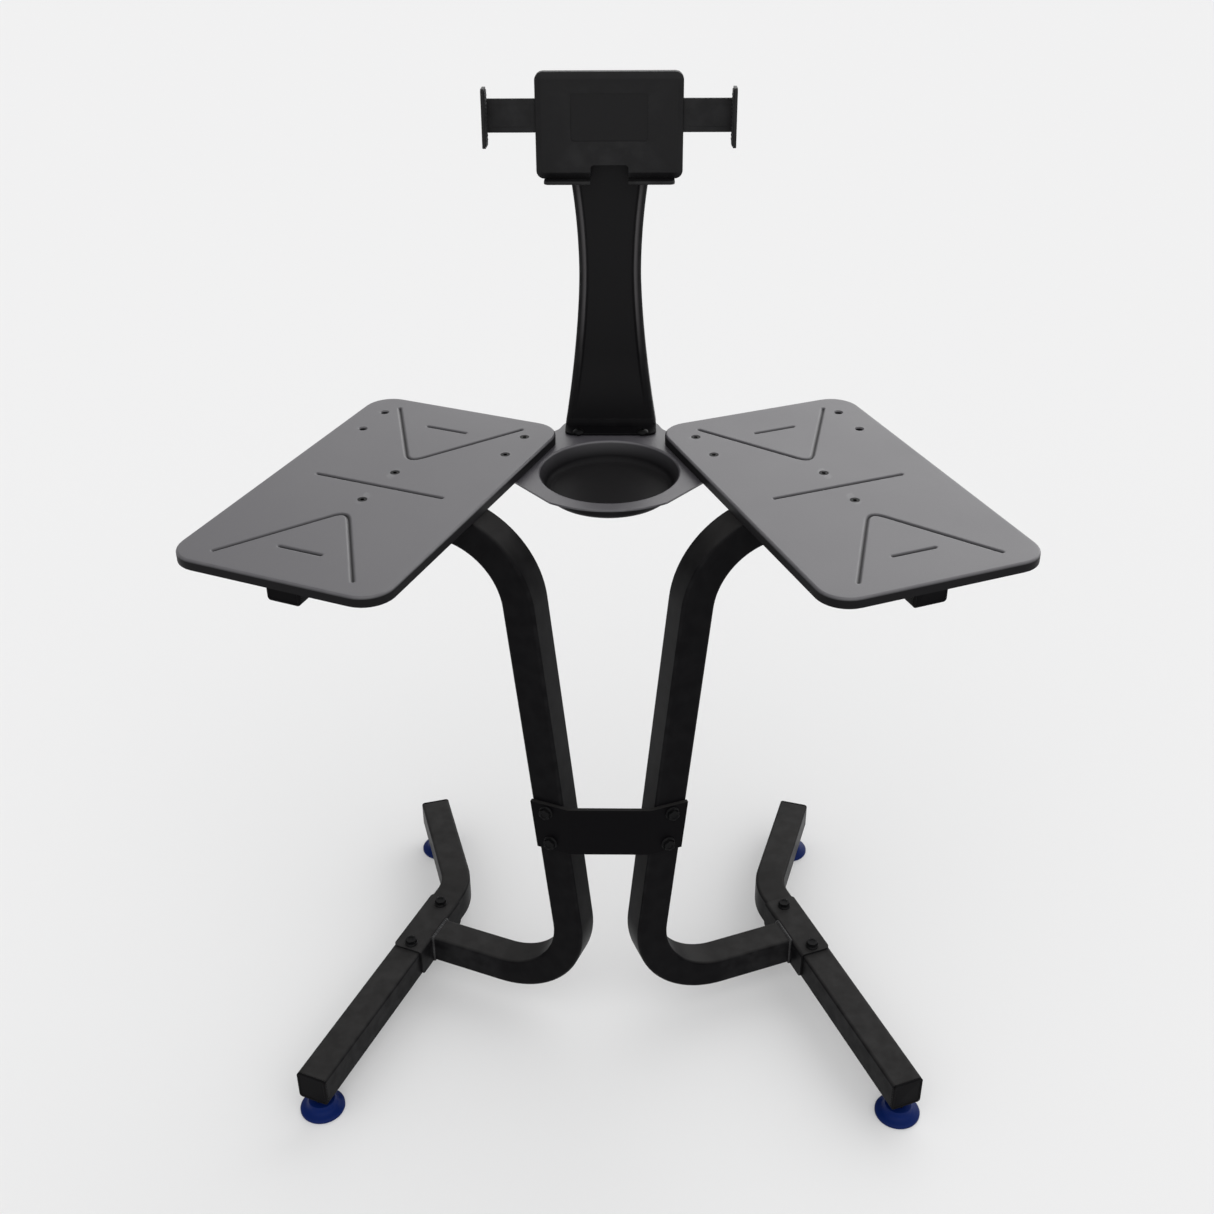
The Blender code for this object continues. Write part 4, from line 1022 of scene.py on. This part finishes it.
def make_button_screw(grip=0.010):
    """A domed screw with a hex socket: the underside of the head at z 0."""
    dome = [(0.0072 * sin(angle), 0.0042 * (cos(angle) - 0.12) / 0.88)
            for angle in [step * radians(83) / 8 for step in range(9)]]
    head = turned(dome + [(0.0072, 0), (0.0039, 0), (0.0039, -grip), (0, -grip)], 40)
    return carved(head, [rod(0.0026, 0.0014, 0.0070, 6)])


def make_flat_bolt(grip=0.020):
    """A countersunk bolt with a hex socket, just under z 0."""
    head = turned([(0, -0.0003), (0.0056, -0.0003), (0.0059, -0.0006), (0.0042, -0.0023),
                   (SHANK, -0.0026), (SHANK, -grip), (0, -grip)], 40)
    return carved(head, [rod(0.0027, -0.0030, 0.001, 6)])


def make_nut(low, high):
    """A hex nut, chamfered on both faces."""
    builder = rod(HEX, low, high, 6)
    chamfer = turned([(0, high), (0.0065, high), (0.0077, high - 0.0007), (0.0077, low + 0.0007),
                      (0.0065, low), (0, low)], 48)
    return carved(builder, [chamfer], "INTERSECT")


def make_plate_bolt():
    """A countersunk bolt with the nut under the dish plate."""
    grip = TRAY_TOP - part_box("right_plate_bolt_1")[0].z
    nut_high = PLATE_TOP - bpy.context.scene.stand_trays.sheet - GAP - TRAY_TOP
    return joined([make_flat_bolt(grip), make_nut(nut_high - 0.0065, nut_high)])


def at_node(builder, node, top):
    """Put an upright piece on a CAD node's axis, its z 0 at a height."""
    middle = SIDE.inverted() @ middle_of(node)
    return placed(builder, Matrix.Translation((middle.x, middle.y, top)))


def make_crossbar_bolt(number):
    """A hex bolt on the front of the crossbar."""
    low, high = box_in(f"right_crossbar_bolt_{number}", SIDE)
    head = 0.0068
    place = Matrix.Translation(((low.x + high.x) / 2, low.y + head, (low.z + high.z) / 2))
    return placed(make_hex_bolt(), place @ Matrix.Rotation(pi / 2, 4, "X"))


def make_pad(node):
    """A levelling pad: a ribbed skirt, a sloping shoulder and a collar round the stud."""
    low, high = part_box(node)
    radius = (high.x - low.x) / 2
    top = high.z - low.z
    profile = [(0, 0.0058), (0.0044, 0.0058), (0.0044, top), (0.0150, top),
               (0.0162, top - 0.0003), (0.0168, top - 0.0012), (0.0176, top - 0.0055),
               (0.0190, 0.0082), (0.0212, 0.0068), (0.0240, 0.0056), (0.0262, 0.0048),
               (radius - 0.0006, 0.0040), (radius, 0.0032), (radius, 0.0012),
               (radius - 0.0012, 0), (0.0225, 0), (0.0215, 0.0010), (0.0160, 0.0010),
               (0.0150, 0), (0, 0)]
    return at_node(turned(profile, 72), node, low.z)


def make_stud(node):
    """A threaded stud with its hex flange."""
    low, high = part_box(node)
    pitch, core = 0.00125, 0.0034
    thread = []
    height = high.z - 0.0006
    while height > low.z + 0.001:
        thread += [(SHANK, height), (SHANK, height - pitch * 0.2),
                   (core, height - pitch * 0.5), (core, height - pitch * 0.6)]
        height -= pitch
    shaft = turned([(0, high.z), (core, high.z)] + thread + [(core, low.z), (0, low.z)], 32)
    pad_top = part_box(node.replace("stud", "pad"))[1].z
    flange = rod(0.0095, pad_top + GAP, FOOT_LOW.z - GAP, 6, 0.0003)
    return at_node(joined([shaft, flange]), node, 0)


def make_bead(points):
    """A weld bead round a closed outline, rippled like a row of small pools."""
    width = bpy.context.scene.stand_tubes.bead
    stops = []
    for first, last in zip(points, points[1:] + points[:1]):
        count = max(2, round((last - first).length / (width * 0.22)))
        stops += [first.lerp(last, step / count) for step in range(count)]
    pools = []
    for number, stop in enumerate(stops):
        pool = bmesh.new()
        bmesh.ops.create_icosphere(pool, subdivisions=2, radius=width / 2)
        swell = 1 + 0.10 * sin(number * 2.4) + 0.05 * sin(number * 5.3)
        place = Matrix.Translation(stop) @ Matrix.Scale(swell, 4)
        pools.append(placed(pool, place))
    return joined(pools)


def tube_joint(end):
    """The corners of the upright's section at an end of its centre line."""
    half = (BEAM_HIGH.z - BEAM_LOW.z) / 2 - 0.001
    return [Vector((end.x, y, end.y + z)) for y, z in rectangle(-half, half, -half, half)]


# --- Pieces across the middle ------------------------------------------------------------------

def plate_outline():
    """The dish plate's outline as a face: front arc, slanted edges, wings and tongue."""
    middle_y = MOUNTS["right_tray_top"]["pos_m"][1]
    arc_radius, arc_half = 0.120, 0.066
    arc_front = middle_y - 0.034
    sweep = atan2(arc_half, sqrt(arc_radius ** 2 - arc_half ** 2))
    builder = bmesh.new()
    centre = Vector((0, arc_front + arc_radius, 0))
    first = Matrix.Rotation(-sweep, 4, "Z") @ Vector((0, -arc_radius, 0)) + centre
    start = builder.verts.new(first)
    arc = bmesh.ops.spin(builder, geom=[start], cent=centre, axis=UP, angle=2 * sweep, steps=40,
                         use_duplicate=False)
    end = next(item for item in arc["geom_last"] if isinstance(item, bmesh.types.BMVert))
    right = [(0.140, middle_y + 0.0743), (0.112, middle_y + 0.163), (0.066, middle_y + 0.172),
             (0.055, middle_y + 0.203)]
    left = [(-x, y) for x, y in reversed(right)]
    corners = [builder.verts.new((x, y, 0)) for x, y in right + left]
    chain = [end] + corners + [start]
    for pair in zip(chain, chain[1:]):
        builder.edges.new(pair)
    bevelled(builder, corners, 0.0115, 8, "VERTICES")
    return builder


def make_dish_plate():
    """A pressed sheet with a round dish whose rim, wall and heel run smoothly together."""
    sizes = bpy.context.scene.stand_trays
    builder = plate_outline()
    outline = builder.edges[:]
    place = Matrix.Translation((0, DISH_CENTRE.y, 0))
    circle = bmesh.ops.create_circle(builder, segments=112, radius=sizes.dish_radius,
                                     matrix=place)["verts"]
    edges = list({edge for vert in circle for edge in vert.link_edges})
    bmesh.ops.triangle_fill(builder, use_beauty=True, edges=outline + edges)
    depth = PLATE_TOP - DISH_CENTRE.z
    lip = 0.0030
    heel = sizes.dish_heel
    profile = [(sizes.dish_radius - lip * sin(angle), lip * (1 - cos(angle)))
               for angle in [pi / 2 * step / 6 for step in range(1, 7)]]
    heel_out = sizes.floor_radius + heel
    profile += [(heel_out - heel * (1 - cos(angle)), depth - heel + heel * sin(angle))
                for angle in [pi / 2 * step / 8 for step in range(9)]]
    radius, level = sizes.dish_radius, 0.0
    for next_radius, next_level in profile:
        verts, edges = grown_ring(builder, edges)
        scale = next_radius / radius
        bmesh.ops.scale(builder, vec=(scale, scale, 1), verts=verts, space=place.inverted())
        bmesh.ops.translate(builder, vec=(0, 0, level - next_level), verts=verts)
        radius, level = next_radius, next_level
    bmesh.ops.contextual_create(builder, geom=edges)
    bmesh.ops.translate(builder, vec=(0, 0, PLATE_TOP), verts=builder.verts)
    pressed = soften(walled(faced(builder, area_of), sizes.sheet), 0.0005, 2, radians(60))
    # Painted shade inside the dish, full from 3.8 mm below the plate's top.
    return shade_below(pressed, PLATE_TOP - 0.0008, 0.0030)


def make_bushes():
    """The four short bushes welded between the dish plate and the trays."""
    low = PLATE_TOP - 0.0005
    high = TRAY_TOP - bpy.context.scene.stand_trays.sheet - GAP
    bushes = []
    for side in (1, -1):
        for number in (1, 2):
            middle = middle_of(f"right_plate_bolt_{number}")
            bush = rod(0.010, low, high, 40, 0.0004)
            bushes.append(placed(bush, Matrix.Translation((side * middle.x, middle.y, 0))))
    return joined(bushes)


def column_base():
    """The column's frame with its origin where the column stands on the plate."""
    sizes = bpy.context.scene.stand_column
    return COLUMN @ Matrix.Translation((0, SHELL_HIGH.y - sizes.depth,
                                        SHELL_HIGH.z - sizes.height))


def column_half(height):
    """Half the column's width at a height along it."""
    sizes = bpy.context.scene.stand_column
    if height < sizes.waist_height:
        share = (sizes.waist_height - height) / sizes.waist_height
        return sizes.waist + sizes.flare_low * share ** 1.6
    share = (height - sizes.waist_height) / (sizes.full_height - sizes.waist_height)
    return sizes.waist + sizes.flare_high * min(share, 1) ** 2


def column_section(height):
    """The column's section at a height: a sunk face between two edge lines, and round corners."""
    sizes = bpy.context.scene.stand_column
    half = column_half(height)
    fade = smooth_step((height - 0.020) / 0.070)
    step = sizes.step * fade
    slope, corner = 0.004, 0.0035
    right = [(0.0, step)]
    ramp_start = half - sizes.rib - slope
    right += [(ramp_start * share, step) for share in (0.5, 0.85)]
    for index in range(7):
        share = index / 6
        right.append((ramp_start + slope * share, step * (1 - smooth_step(share))))
    ridge = half - corner
    right.append((half - sizes.rib + 0.0015, 0.0))
    for index in range(7):
        angle = pi / 2 * index / 6
        right.append((ridge + corner * sin(angle), corner * (1 - cos(angle))))
    right.append((half, sizes.depth))
    return [(-x, y) for x, y in reversed(right[1:])] + right


HIGHLIGHT_PLACES = (8, 9, 27, 28)     # points of the section that carry the painted highlight lines


def make_column():
    """The column's front and sides, a smooth loft from its foot to the holder."""
    sizes = bpy.context.scene.stand_column
    builder = bmesh.new()
    line = builder.verts.layers.float.new(PAINTED_HIGHLIGHT_ATTRIBUTE)
    rows = []
    count = 72
    for index in range(count + 1):
        height = 0.0012 + (sizes.height - 0.0012) * index / count
        verts = [builder.verts.new((x, y, height)) for x, y in column_section(height)]
        # Painted highlight lines along the raised edges, fading in above the column's foot.
        for place in HIGHLIGHT_PLACES:
            verts[place][line] = smooth_step((height - 0.07) / 0.10)
        rows.append([builder.edges.new(pair) for pair in zip(verts, verts[1:])])
    for low, high in zip(rows, rows[1:]):
        bmesh.ops.bridge_loops(builder, edges=low + high)
    faced(builder, lambda face: -face.calc_center_median().y, 1, -1)
    return placed(walled(builder, 0.0025), column_base())


def make_flange():
    """The flange at the column's foot, with a fillet up to the column's face."""
    half = column_half(0) - 0.0005
    base = column_base() @ Vector((0, 0, 0))
    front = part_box("column_shell")[0].y
    builder = plate(rectangle(-half, half, front, base.y + 0.006), PLATE_TOP + GAP,
                    PLATE_TOP + GAP + 0.003)
    bends = [edge for edge in upright_edges(builder) if edge.verts[0].co.y < front + 0.001]
    bevelled(builder, bends, 0.010, 8)
    soften(builder, 0.0007, 3)
    fillet = polygon([(0, 0), (0.010, 0), (0.0058, 0.0012), (0.0026, 0.0036), (0.0008, 0.0070),
                      (0, 0.0115)])
    thicken(fillet, 2 * half - 0.006)
    placed(fillet, Matrix.Translation((-(half - 0.003), base.y + 0.0025, PLATE_TOP + 0.003))
           @ Matrix(((0, 0, 1, 0), (-1, 0, 0, 0), (0, 1, 0, 0), (0, 0, 0, 1))))
    bmesh.ops.recalc_face_normals(fillet, faces=fillet.faces)
    return joined([builder, fillet])


STAND_UP = Matrix.Rotation(pi / 2, 4, "X")      # a plate's thickness then runs to -Y


def standing_plate(points, back, front, rounding=0.0, segments=6):
    """A plate across XZ between two depths, its outline rounded."""
    return placed(plate(points, -back, -front, rounding, segments), STAND_UP)


def make_holder_front():
    """The holder's front: sloping border, sunk panel, cable notch and the two ledges."""
    sizes = bpy.context.scene.stand_column
    half = BACK_HIGH.x
    low, high = BACK_LOW.z, BACK_HIGH.z
    split = HOLDER_HIGH.y
    rise, sheet = 0.003, 0.0025
    cover = plate(rectangle(-half, half, low, high), -split, -rise, sizes.corner, 8)
    face = max(cover.faces, key=height_of)
    bmesh.ops.inset_region(cover, faces=[face], thickness=sizes.bevel, depth=rise,
                           use_even_offset=True)
    soften(cover, 0.0010, 3, radians(14))
    placed(cover, STAND_UP)
    pocket = standing_plate(rectangle(sheet - half, half - sheet, low + sheet, high - sheet),
                            split + 0.002, 0.0035, sizes.corner - sheet)
    cover = carved(cover, [pocket])
    ledge = plate(rectangle(-sizes.ledge, sizes.ledge, HOLDER_LOW.y, split), HOLDER_LOW.z,
                  HOLDER_LOW.z + 0.004)
    fronts = [edge for edge in upright_edges(ledge)
              if edge.verts[0].co.y < HOLDER_LOW.y + 0.001]
    bevelled(ledge, fronts, 0.006, 6)
    soften(ledge, 0.0010, 3)
    cover = carved(cover, [ledge], "UNION")
    notch = standing_plate(rectangle(-sizes.notch, sizes.notch, low - 0.01, low + 0.0155),
                           0.02, -0.06, 0.004)
    panel_low, panel_high = low + 0.0415, low + 0.0932
    panel = standing_plate(rectangle(-sizes.panel, sizes.panel, panel_low, panel_high),
                           0.0010, -0.01, 0.004)
    return placed(carved(cover, [notch, panel]), COLUMN)


def make_arm(side):
    """A sliding arm, drawn on the right: a flat arm, an upright jaw and a guide in the holder."""
    sizes = bpy.context.scene.stand_column
    flat_low, flat_high = ARM_LOW.z + 0.0145, ARM_HIGH.z - 0.0130
    back = ARM_HIGH.y
    front = back - 0.004
    jaw_inner = ARM_HIGH.x - sizes.jaw
    middle = (flat_low + flat_high) / 2
    guide_low, guide_high = ((middle + 0.0008, flat_high) if side == "right"
                             else (flat_low, middle - 0.0008))
    guide = standing_plate(rectangle(ARM_LOW.x, jaw_inner, guide_low, guide_high), back, front)
    flat = standing_plate(rectangle(BACK_HIGH.x - 0.010, jaw_inner + 0.001, flat_low, flat_high),
                          back, front)
    jaw = plate(rectangle(ARM_LOW.z, ARM_HIGH.z, -back, -ARM_LOW.y), 0, sizes.jaw, 0.0)
    bevelled(jaw, upright_edges(jaw), 0.0035, 6)
    stand = Matrix(((0, 0, 1, jaw_inner), (0, -1, 0, 0), (1, 0, 0, 0), (0, 0, 0, 1)))
    placed(jaw, stand)
    bmesh.ops.recalc_face_normals(jaw, faces=jaw.faces)
    field = standing_plate(rectangle(BACK_HIGH.x + 0.005, jaw_inner - 0.005, flat_low + 0.006,
                                     flat_high - 0.006), front + 0.0006, front - 0.0020, 0.002)
    whole = carved(carved(flat, [guide, jaw], "UNION"), [field])
    return placed(soften(whole, 0.0007, 2, BEND_ANGLE), COLUMN)


def make_jaw_pad():
    """The ribbed rubber facing inside the right jaw."""
    low, high = box_in("right_jaw_pad", COLUMN)
    pad = plate(rectangle(low.z, high.z, -high.y, -low.y), 0, (high.x - low.x) * 0.6)
    bevelled(pad, upright_edges(pad, 0.0005), 0.003, 5)
    ribs = [pad]
    count = 12
    span = high.z - low.z - 0.008
    for index in range(count):
        centre = low.z + 0.004 + span * (index + 0.5) / count
        rib = plate(rectangle(centre - 0.0012, centre + 0.0012, -high.y + 0.003, -low.y - 0.003),
                    (high.x - low.x) * 0.5, high.x - low.x)
        ribs.append(soften(rib, 0.0003, 1))
    whole = joined(ribs)
    stand = Matrix(((0, 0, -1, high.x), (0, -1, 0, 0), (1, 0, 0, 0), (0, 0, 0, 1)))
    placed(whole, stand)
    bmesh.ops.recalc_face_normals(whole, faces=whole.faces)
    return placed(whole, COLUMN)


# --- Operators ---------------------------------------------------------------------------------

class STAND_OT_materials(bpy.types.Operator):
    """Make every finish of the stand"""
    bl_idname = "stand.materials"
    bl_label = "Finishes"

    def execute(self, context):
        make_materials(context.scene.stand_colours)
        return {"FINISHED"}


class STAND_OT_trays(bpy.types.Operator):
    """Model the two pressed trays"""
    bl_idname = "stand.trays"
    bl_label = "Trays"

    def execute(self, context):
        on_both_sides("{side}_pressed_tray", make_tray, "tray_coat", "tray_steel",
                      nodes=["{side}_tray"])
        return {"FINISHED"}


class STAND_OT_tubes(bpy.types.Operator):
    """Model the square tubes: beams, uprights and feet"""
    bl_idname = "stand.tubes"
    bl_label = "Tubes"

    def execute(self, context):
        sheet = context.scene.stand_tubes.wall
        for name, build, node in (("beam_tube", make_beam, "support_beam"),
                                  ("bent_upright", make_upright, "upright"),
                                  ("bent_foot", make_foot, "foot_tube")):
            on_both_sides("{side}_" + name, build, "tube_coat", "black_steel",
                          nodes=["{side}_" + node], sheet=sheet)
        return {"FINISHED"}


class STAND_OT_brackets(bpy.types.Operator):
    """Model the folded foot brackets and the weld beads"""
    bl_idname = "stand.brackets"
    bl_label = "Brackets and welds"

    def execute(self, context):
        on_both_sides("{side}_folded_bracket", make_bracket, "tube_coat", "black_steel",
                      nodes=["{side}_foot_bracket"])
        foot_end, _, _, beam_end = upright_corners()
        for name, end in (("foot_weld", foot_end), ("beam_weld", beam_end)):
            on_both_sides("{side}_" + name, lambda end=end: make_bead(tube_joint(end)),
                          "weld_coat", "black_steel")
        return {"FINISHED"}


class STAND_OT_caps(bpy.types.Operator):
    """Model the end caps of the beams and the feet"""
    bl_idname = "stand.caps"
    bl_label = "End caps"

    def execute(self, context):
        knee = context.scene.stand_tubes.knee_turn
        for name, heading in (("beam_front_cap", -pi / 2), ("beam_rear_cap", pi / 2),
                              ("foot_front_cap", -pi / 2), ("foot_rear_cap", pi / 2 - knee)):
            on_both_sides("{side}_moulded_" + name,
                          lambda name=name, heading=heading: make_cap("right_" + name, heading),
                          "moulded_plastic", "black_plastic", nodes=["{side}_" + name])
        return {"FINISHED"}


class STAND_OT_bolts(bpy.types.Operator):
    """Model the bolts and screws"""
    bl_idname = "stand.bolts"
    bl_label = "Bolts"

    def execute(self, context):
        bracket_top = box_in("right_foot_bracket", SIDE)[1].z + GAP
        kinds = {
            "beam_bolt": lambda number: at_node(make_flat_bolt(), f"right_beam_bolt_{number}",
                                                TRAY_TOP),
            "plate_bolt": lambda number: at_node(make_plate_bolt(), f"right_plate_bolt_{number}",
                                                 TRAY_TOP),
            "bracket_bolt": lambda number: at_node(make_hex_bolt(),
                                                   f"right_bracket_bolt_{number}", bracket_top),
            "crossbar_bolt": make_crossbar_bolt,
        }
        for kind, build in kinds.items():
            for number in (1, 2):
                on_both_sides(f"{{side}}_fine_{kind}_{number}",
                              lambda build=build, number=number: build(number), "black_oxide",
                              "dark_hardware", nodes=[f"{{side}}_{kind}_{number}"])
        for side in ("right", "left"):
            node = f"{side}_column_screw"
            low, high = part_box(node)
            place = Matrix.Translation(((low.x + high.x) / 2, (low.y + high.y) / 2,
                                        high.z - 0.0042))
            add_piece(f"{side}_fine_column_screw", placed(make_button_screw(), place),
                      "black_oxide", "dark_hardware", nodes=[node])
        return {"FINISHED"}


class STAND_OT_feet(bpy.types.Operator):
    """Model the levelling pads and their studs"""
    bl_idname = "stand.feet"
    bl_label = "Levelling feet"

    def execute(self, context):
        for end in ("front", "rear"):
            on_both_sides("{side}_" + end + "_rubber_pad",
                          lambda end=end: make_pad(f"right_{end}_pad"), "pad_rubber",
                          "blue_rubber", "{side}_" + end + "_pad_body",
                          ["{side}_" + end + "_pad"])
            on_both_sides("{side}_" + end + "_threaded_stud",
                          lambda end=end: make_stud(f"right_{end}_stud"), "black_oxide",
                          "dark_hardware", "{side}_" + end + "_stud_body",
                          ["{side}_" + end + "_stud"])
            for side in ("left", "right"):
                frame["nodes"][f"{side}_{end}_nut"].material_slots[0].material = (
                    bpy.data.materials["black_oxide"])
        return {"FINISHED"}


class STAND_OT_middle(bpy.types.Operator):
    """Model the crossbar, the dish plate and its bushes"""
    bl_idname = "stand.middle"
    bl_label = "Crossbar and dish plate"

    def execute(self, context):
        add_piece("folded_crossbar", soften(merged_copy("crossbar"), 0.0007, 2, BEND_ANGLE),
                  "bar_coat", "black_steel", nodes=["crossbar"])
        add_piece("pressed_dish_plate", make_dish_plate(), "tray_coat", "tray_steel",
                  nodes=["dish_plate"])
        add_piece("plate_bushes", make_bushes(), "tray_coat", "tray_steel")
        return {"FINISHED"}


class STAND_OT_column(bpy.types.Operator):
    """Model the column, its flange and its back"""
    bl_idname = "stand.column"
    bl_label = "Column"

    def execute(self, context):
        add_piece("moulded_column", make_column(), "column_plastic", "black_plastic",
                  nodes=["column_shell"])
        add_piece("column_flange", make_flange(), "moulded_plastic", "black_plastic")
        add_piece("column_back", soften(merged_copy("column_back_cover"), 0.0005, 2, BEND_ANGLE),
                  "column_plastic", "black_plastic", nodes=["column_back_cover"])
        return {"FINISHED"}


class STAND_OT_holder(bpy.types.Operator):
    """Model the tablet holder, its sliding arms and its jaw pads"""
    bl_idname = "stand.holder"
    bl_label = "Tablet holder"

    def execute(self, context):
        add_piece("holder_front", make_holder_front(), "holder_plastic", "black_plastic",
                  nodes=["holder_front_cover"])
        add_piece("holder_back", soften(merged_copy("holder_back_cover"), 0.0006, 2, BEND_ANGLE),
                  "holder_plastic", "black_plastic", nodes=["holder_back_cover"])
        for side in ("right", "left"):
            for name, build, finish, slot, node in (
                    ("sliding_arm", lambda side=side: make_arm(side), "holder_plastic",
                     "black_plastic", "tablet_arm"),
                    ("jaw_facing", make_jaw_pad, "jaw_rubber", "black_rubber", "jaw_pad")):
                builder = build()
                if side == "left":
                    mirrored(builder)
                add_piece(f"{side}_{name}", builder, finish, slot, f"{side}_arm_body",
                          [f"{side}_{node}"])
        return {"FINISHED"}


class STAND_OT_stage(bpy.types.Operator):
    """Set the pale floor, the soft light and the camera"""
    bl_idname = "stand.stage"
    bl_label = "Stage"

    def execute(self, context):
        scene = context.scene
        builder = bmesh.new()
        bmesh.ops.create_grid(builder, x_segments=1, y_segments=1, size=FLOOR_REACH)
        mesh = bpy.data.meshes.new("floor")
        builder.to_mesh(mesh)
        builder.free()
        floor = bpy.data.objects.new("floor", mesh)
        finish = bpy.data.materials.new("studio_floor")
        finish.use_nodes = True
        shader = finish.node_tree.nodes["Principled BSDF"]
        shader.inputs["Base Color"].default_value = (*scene.stand_colours.floor, 1)
        shader.inputs["Roughness"].default_value = 0.9
        shader.inputs["Specular IOR Level"].default_value = 0.0
        shader.inputs["Emission Color"].default_value = (1, 1, 1, 1)
        shader.inputs["Emission Strength"].default_value = scene.stand_light.floor
        mesh.materials.append(finish)
        scene.collection.objects.link(floor)
        scene.world = make_room(scene.stand_light)
        settings = scene.stand_camera
        camera = bpy.data.objects.new("camera", bpy.data.cameras.new("camera"))
        camera.data.lens = settings.lens
        camera.data.sensor_width = SENSOR
        middle_y = MOUNTS["right_tray_top"]["pos_m"][1]
        camera.matrix_world = (Matrix.Translation(settings.offset)
                               @ Matrix.Translation((0, middle_y, 0))
                               @ Matrix.Rotation(settings.heading, 4, "Z")
                               @ Matrix.Rotation(pi / 2 - settings.down, 4, "X")
                               @ Matrix.Rotation(settings.roll, 4, "Z"))
        scene.collection.objects.link(camera)
        scene.camera = camera
        scene.view_settings.view_transform = "Standard"
        return {"FINISHED"}


class STAND_PT_panel(bpy.types.Panel):
    """The stand's pieces and settings"""
    bl_idname = "STAND_PT_panel"
    bl_label = "Dumbbell Stand"
    bl_space_type = "VIEW_3D"
    bl_region_type = "UI"
    bl_category = "Dumbbell Stand"

    def draw(self, context):
        for step in STEPS:
            self.layout.operator(step.bl_idname)
        for key in SETTINGS:
            box = self.layout.box()
            group = getattr(context.scene, key)
            for setting in group.bl_rna.properties.keys():
                if setting not in ("rna_type", "name"):
                    box.prop(group, setting)


STEPS = (STAND_OT_stage, STAND_OT_materials, STAND_OT_trays, STAND_OT_tubes, STAND_OT_brackets,
         STAND_OT_caps, STAND_OT_bolts, STAND_OT_feet, STAND_OT_middle, STAND_OT_column,
         STAND_OT_holder)
SETTINGS = {"stand_tubes": StandTubeSizes, "stand_trays": StandTraySizes,
            "stand_column": StandColumnSizes, "stand_colours": StandColours,
            "stand_light": StandLight, "stand_camera": StandCamera}


def register():
    """Register the settings, the operators and the panel."""
    for key, group in SETTINGS.items():
        bpy.utils.register_class(group)
        setattr(bpy.types.Scene, key, bpy.props.PointerProperty(type=group))
    for item in STEPS + (STAND_PT_panel,):
        bpy.utils.register_class(item)


def unregister():
    """Take everything back out."""
    for item in reversed(STEPS + (STAND_PT_panel,)):
        bpy.utils.unregister_class(item)
    for key, group in SETTINGS.items():
        delattr(bpy.types.Scene, key)
        bpy.utils.unregister_class(group)


def main():
    """Make the stage and every piece."""
    register()
    for thing in list(bpy.data.objects):
        if thing.type in ("CAMERA", "LIGHT") or thing.name == "Cube":
            bpy.data.objects.remove(thing, do_unlink=True)
    bpy.ops.stand.stage()
    bpy.ops.stand.materials()
    bpy.ops.stand.trays()
    bpy.ops.stand.tubes()
    bpy.ops.stand.brackets()
    bpy.ops.stand.caps()
    bpy.ops.stand.bolts()
    bpy.ops.stand.feet()
    bpy.ops.stand.middle()
    bpy.ops.stand.column()
    bpy.ops.stand.holder()


if __name__ == "__main__":
    main()
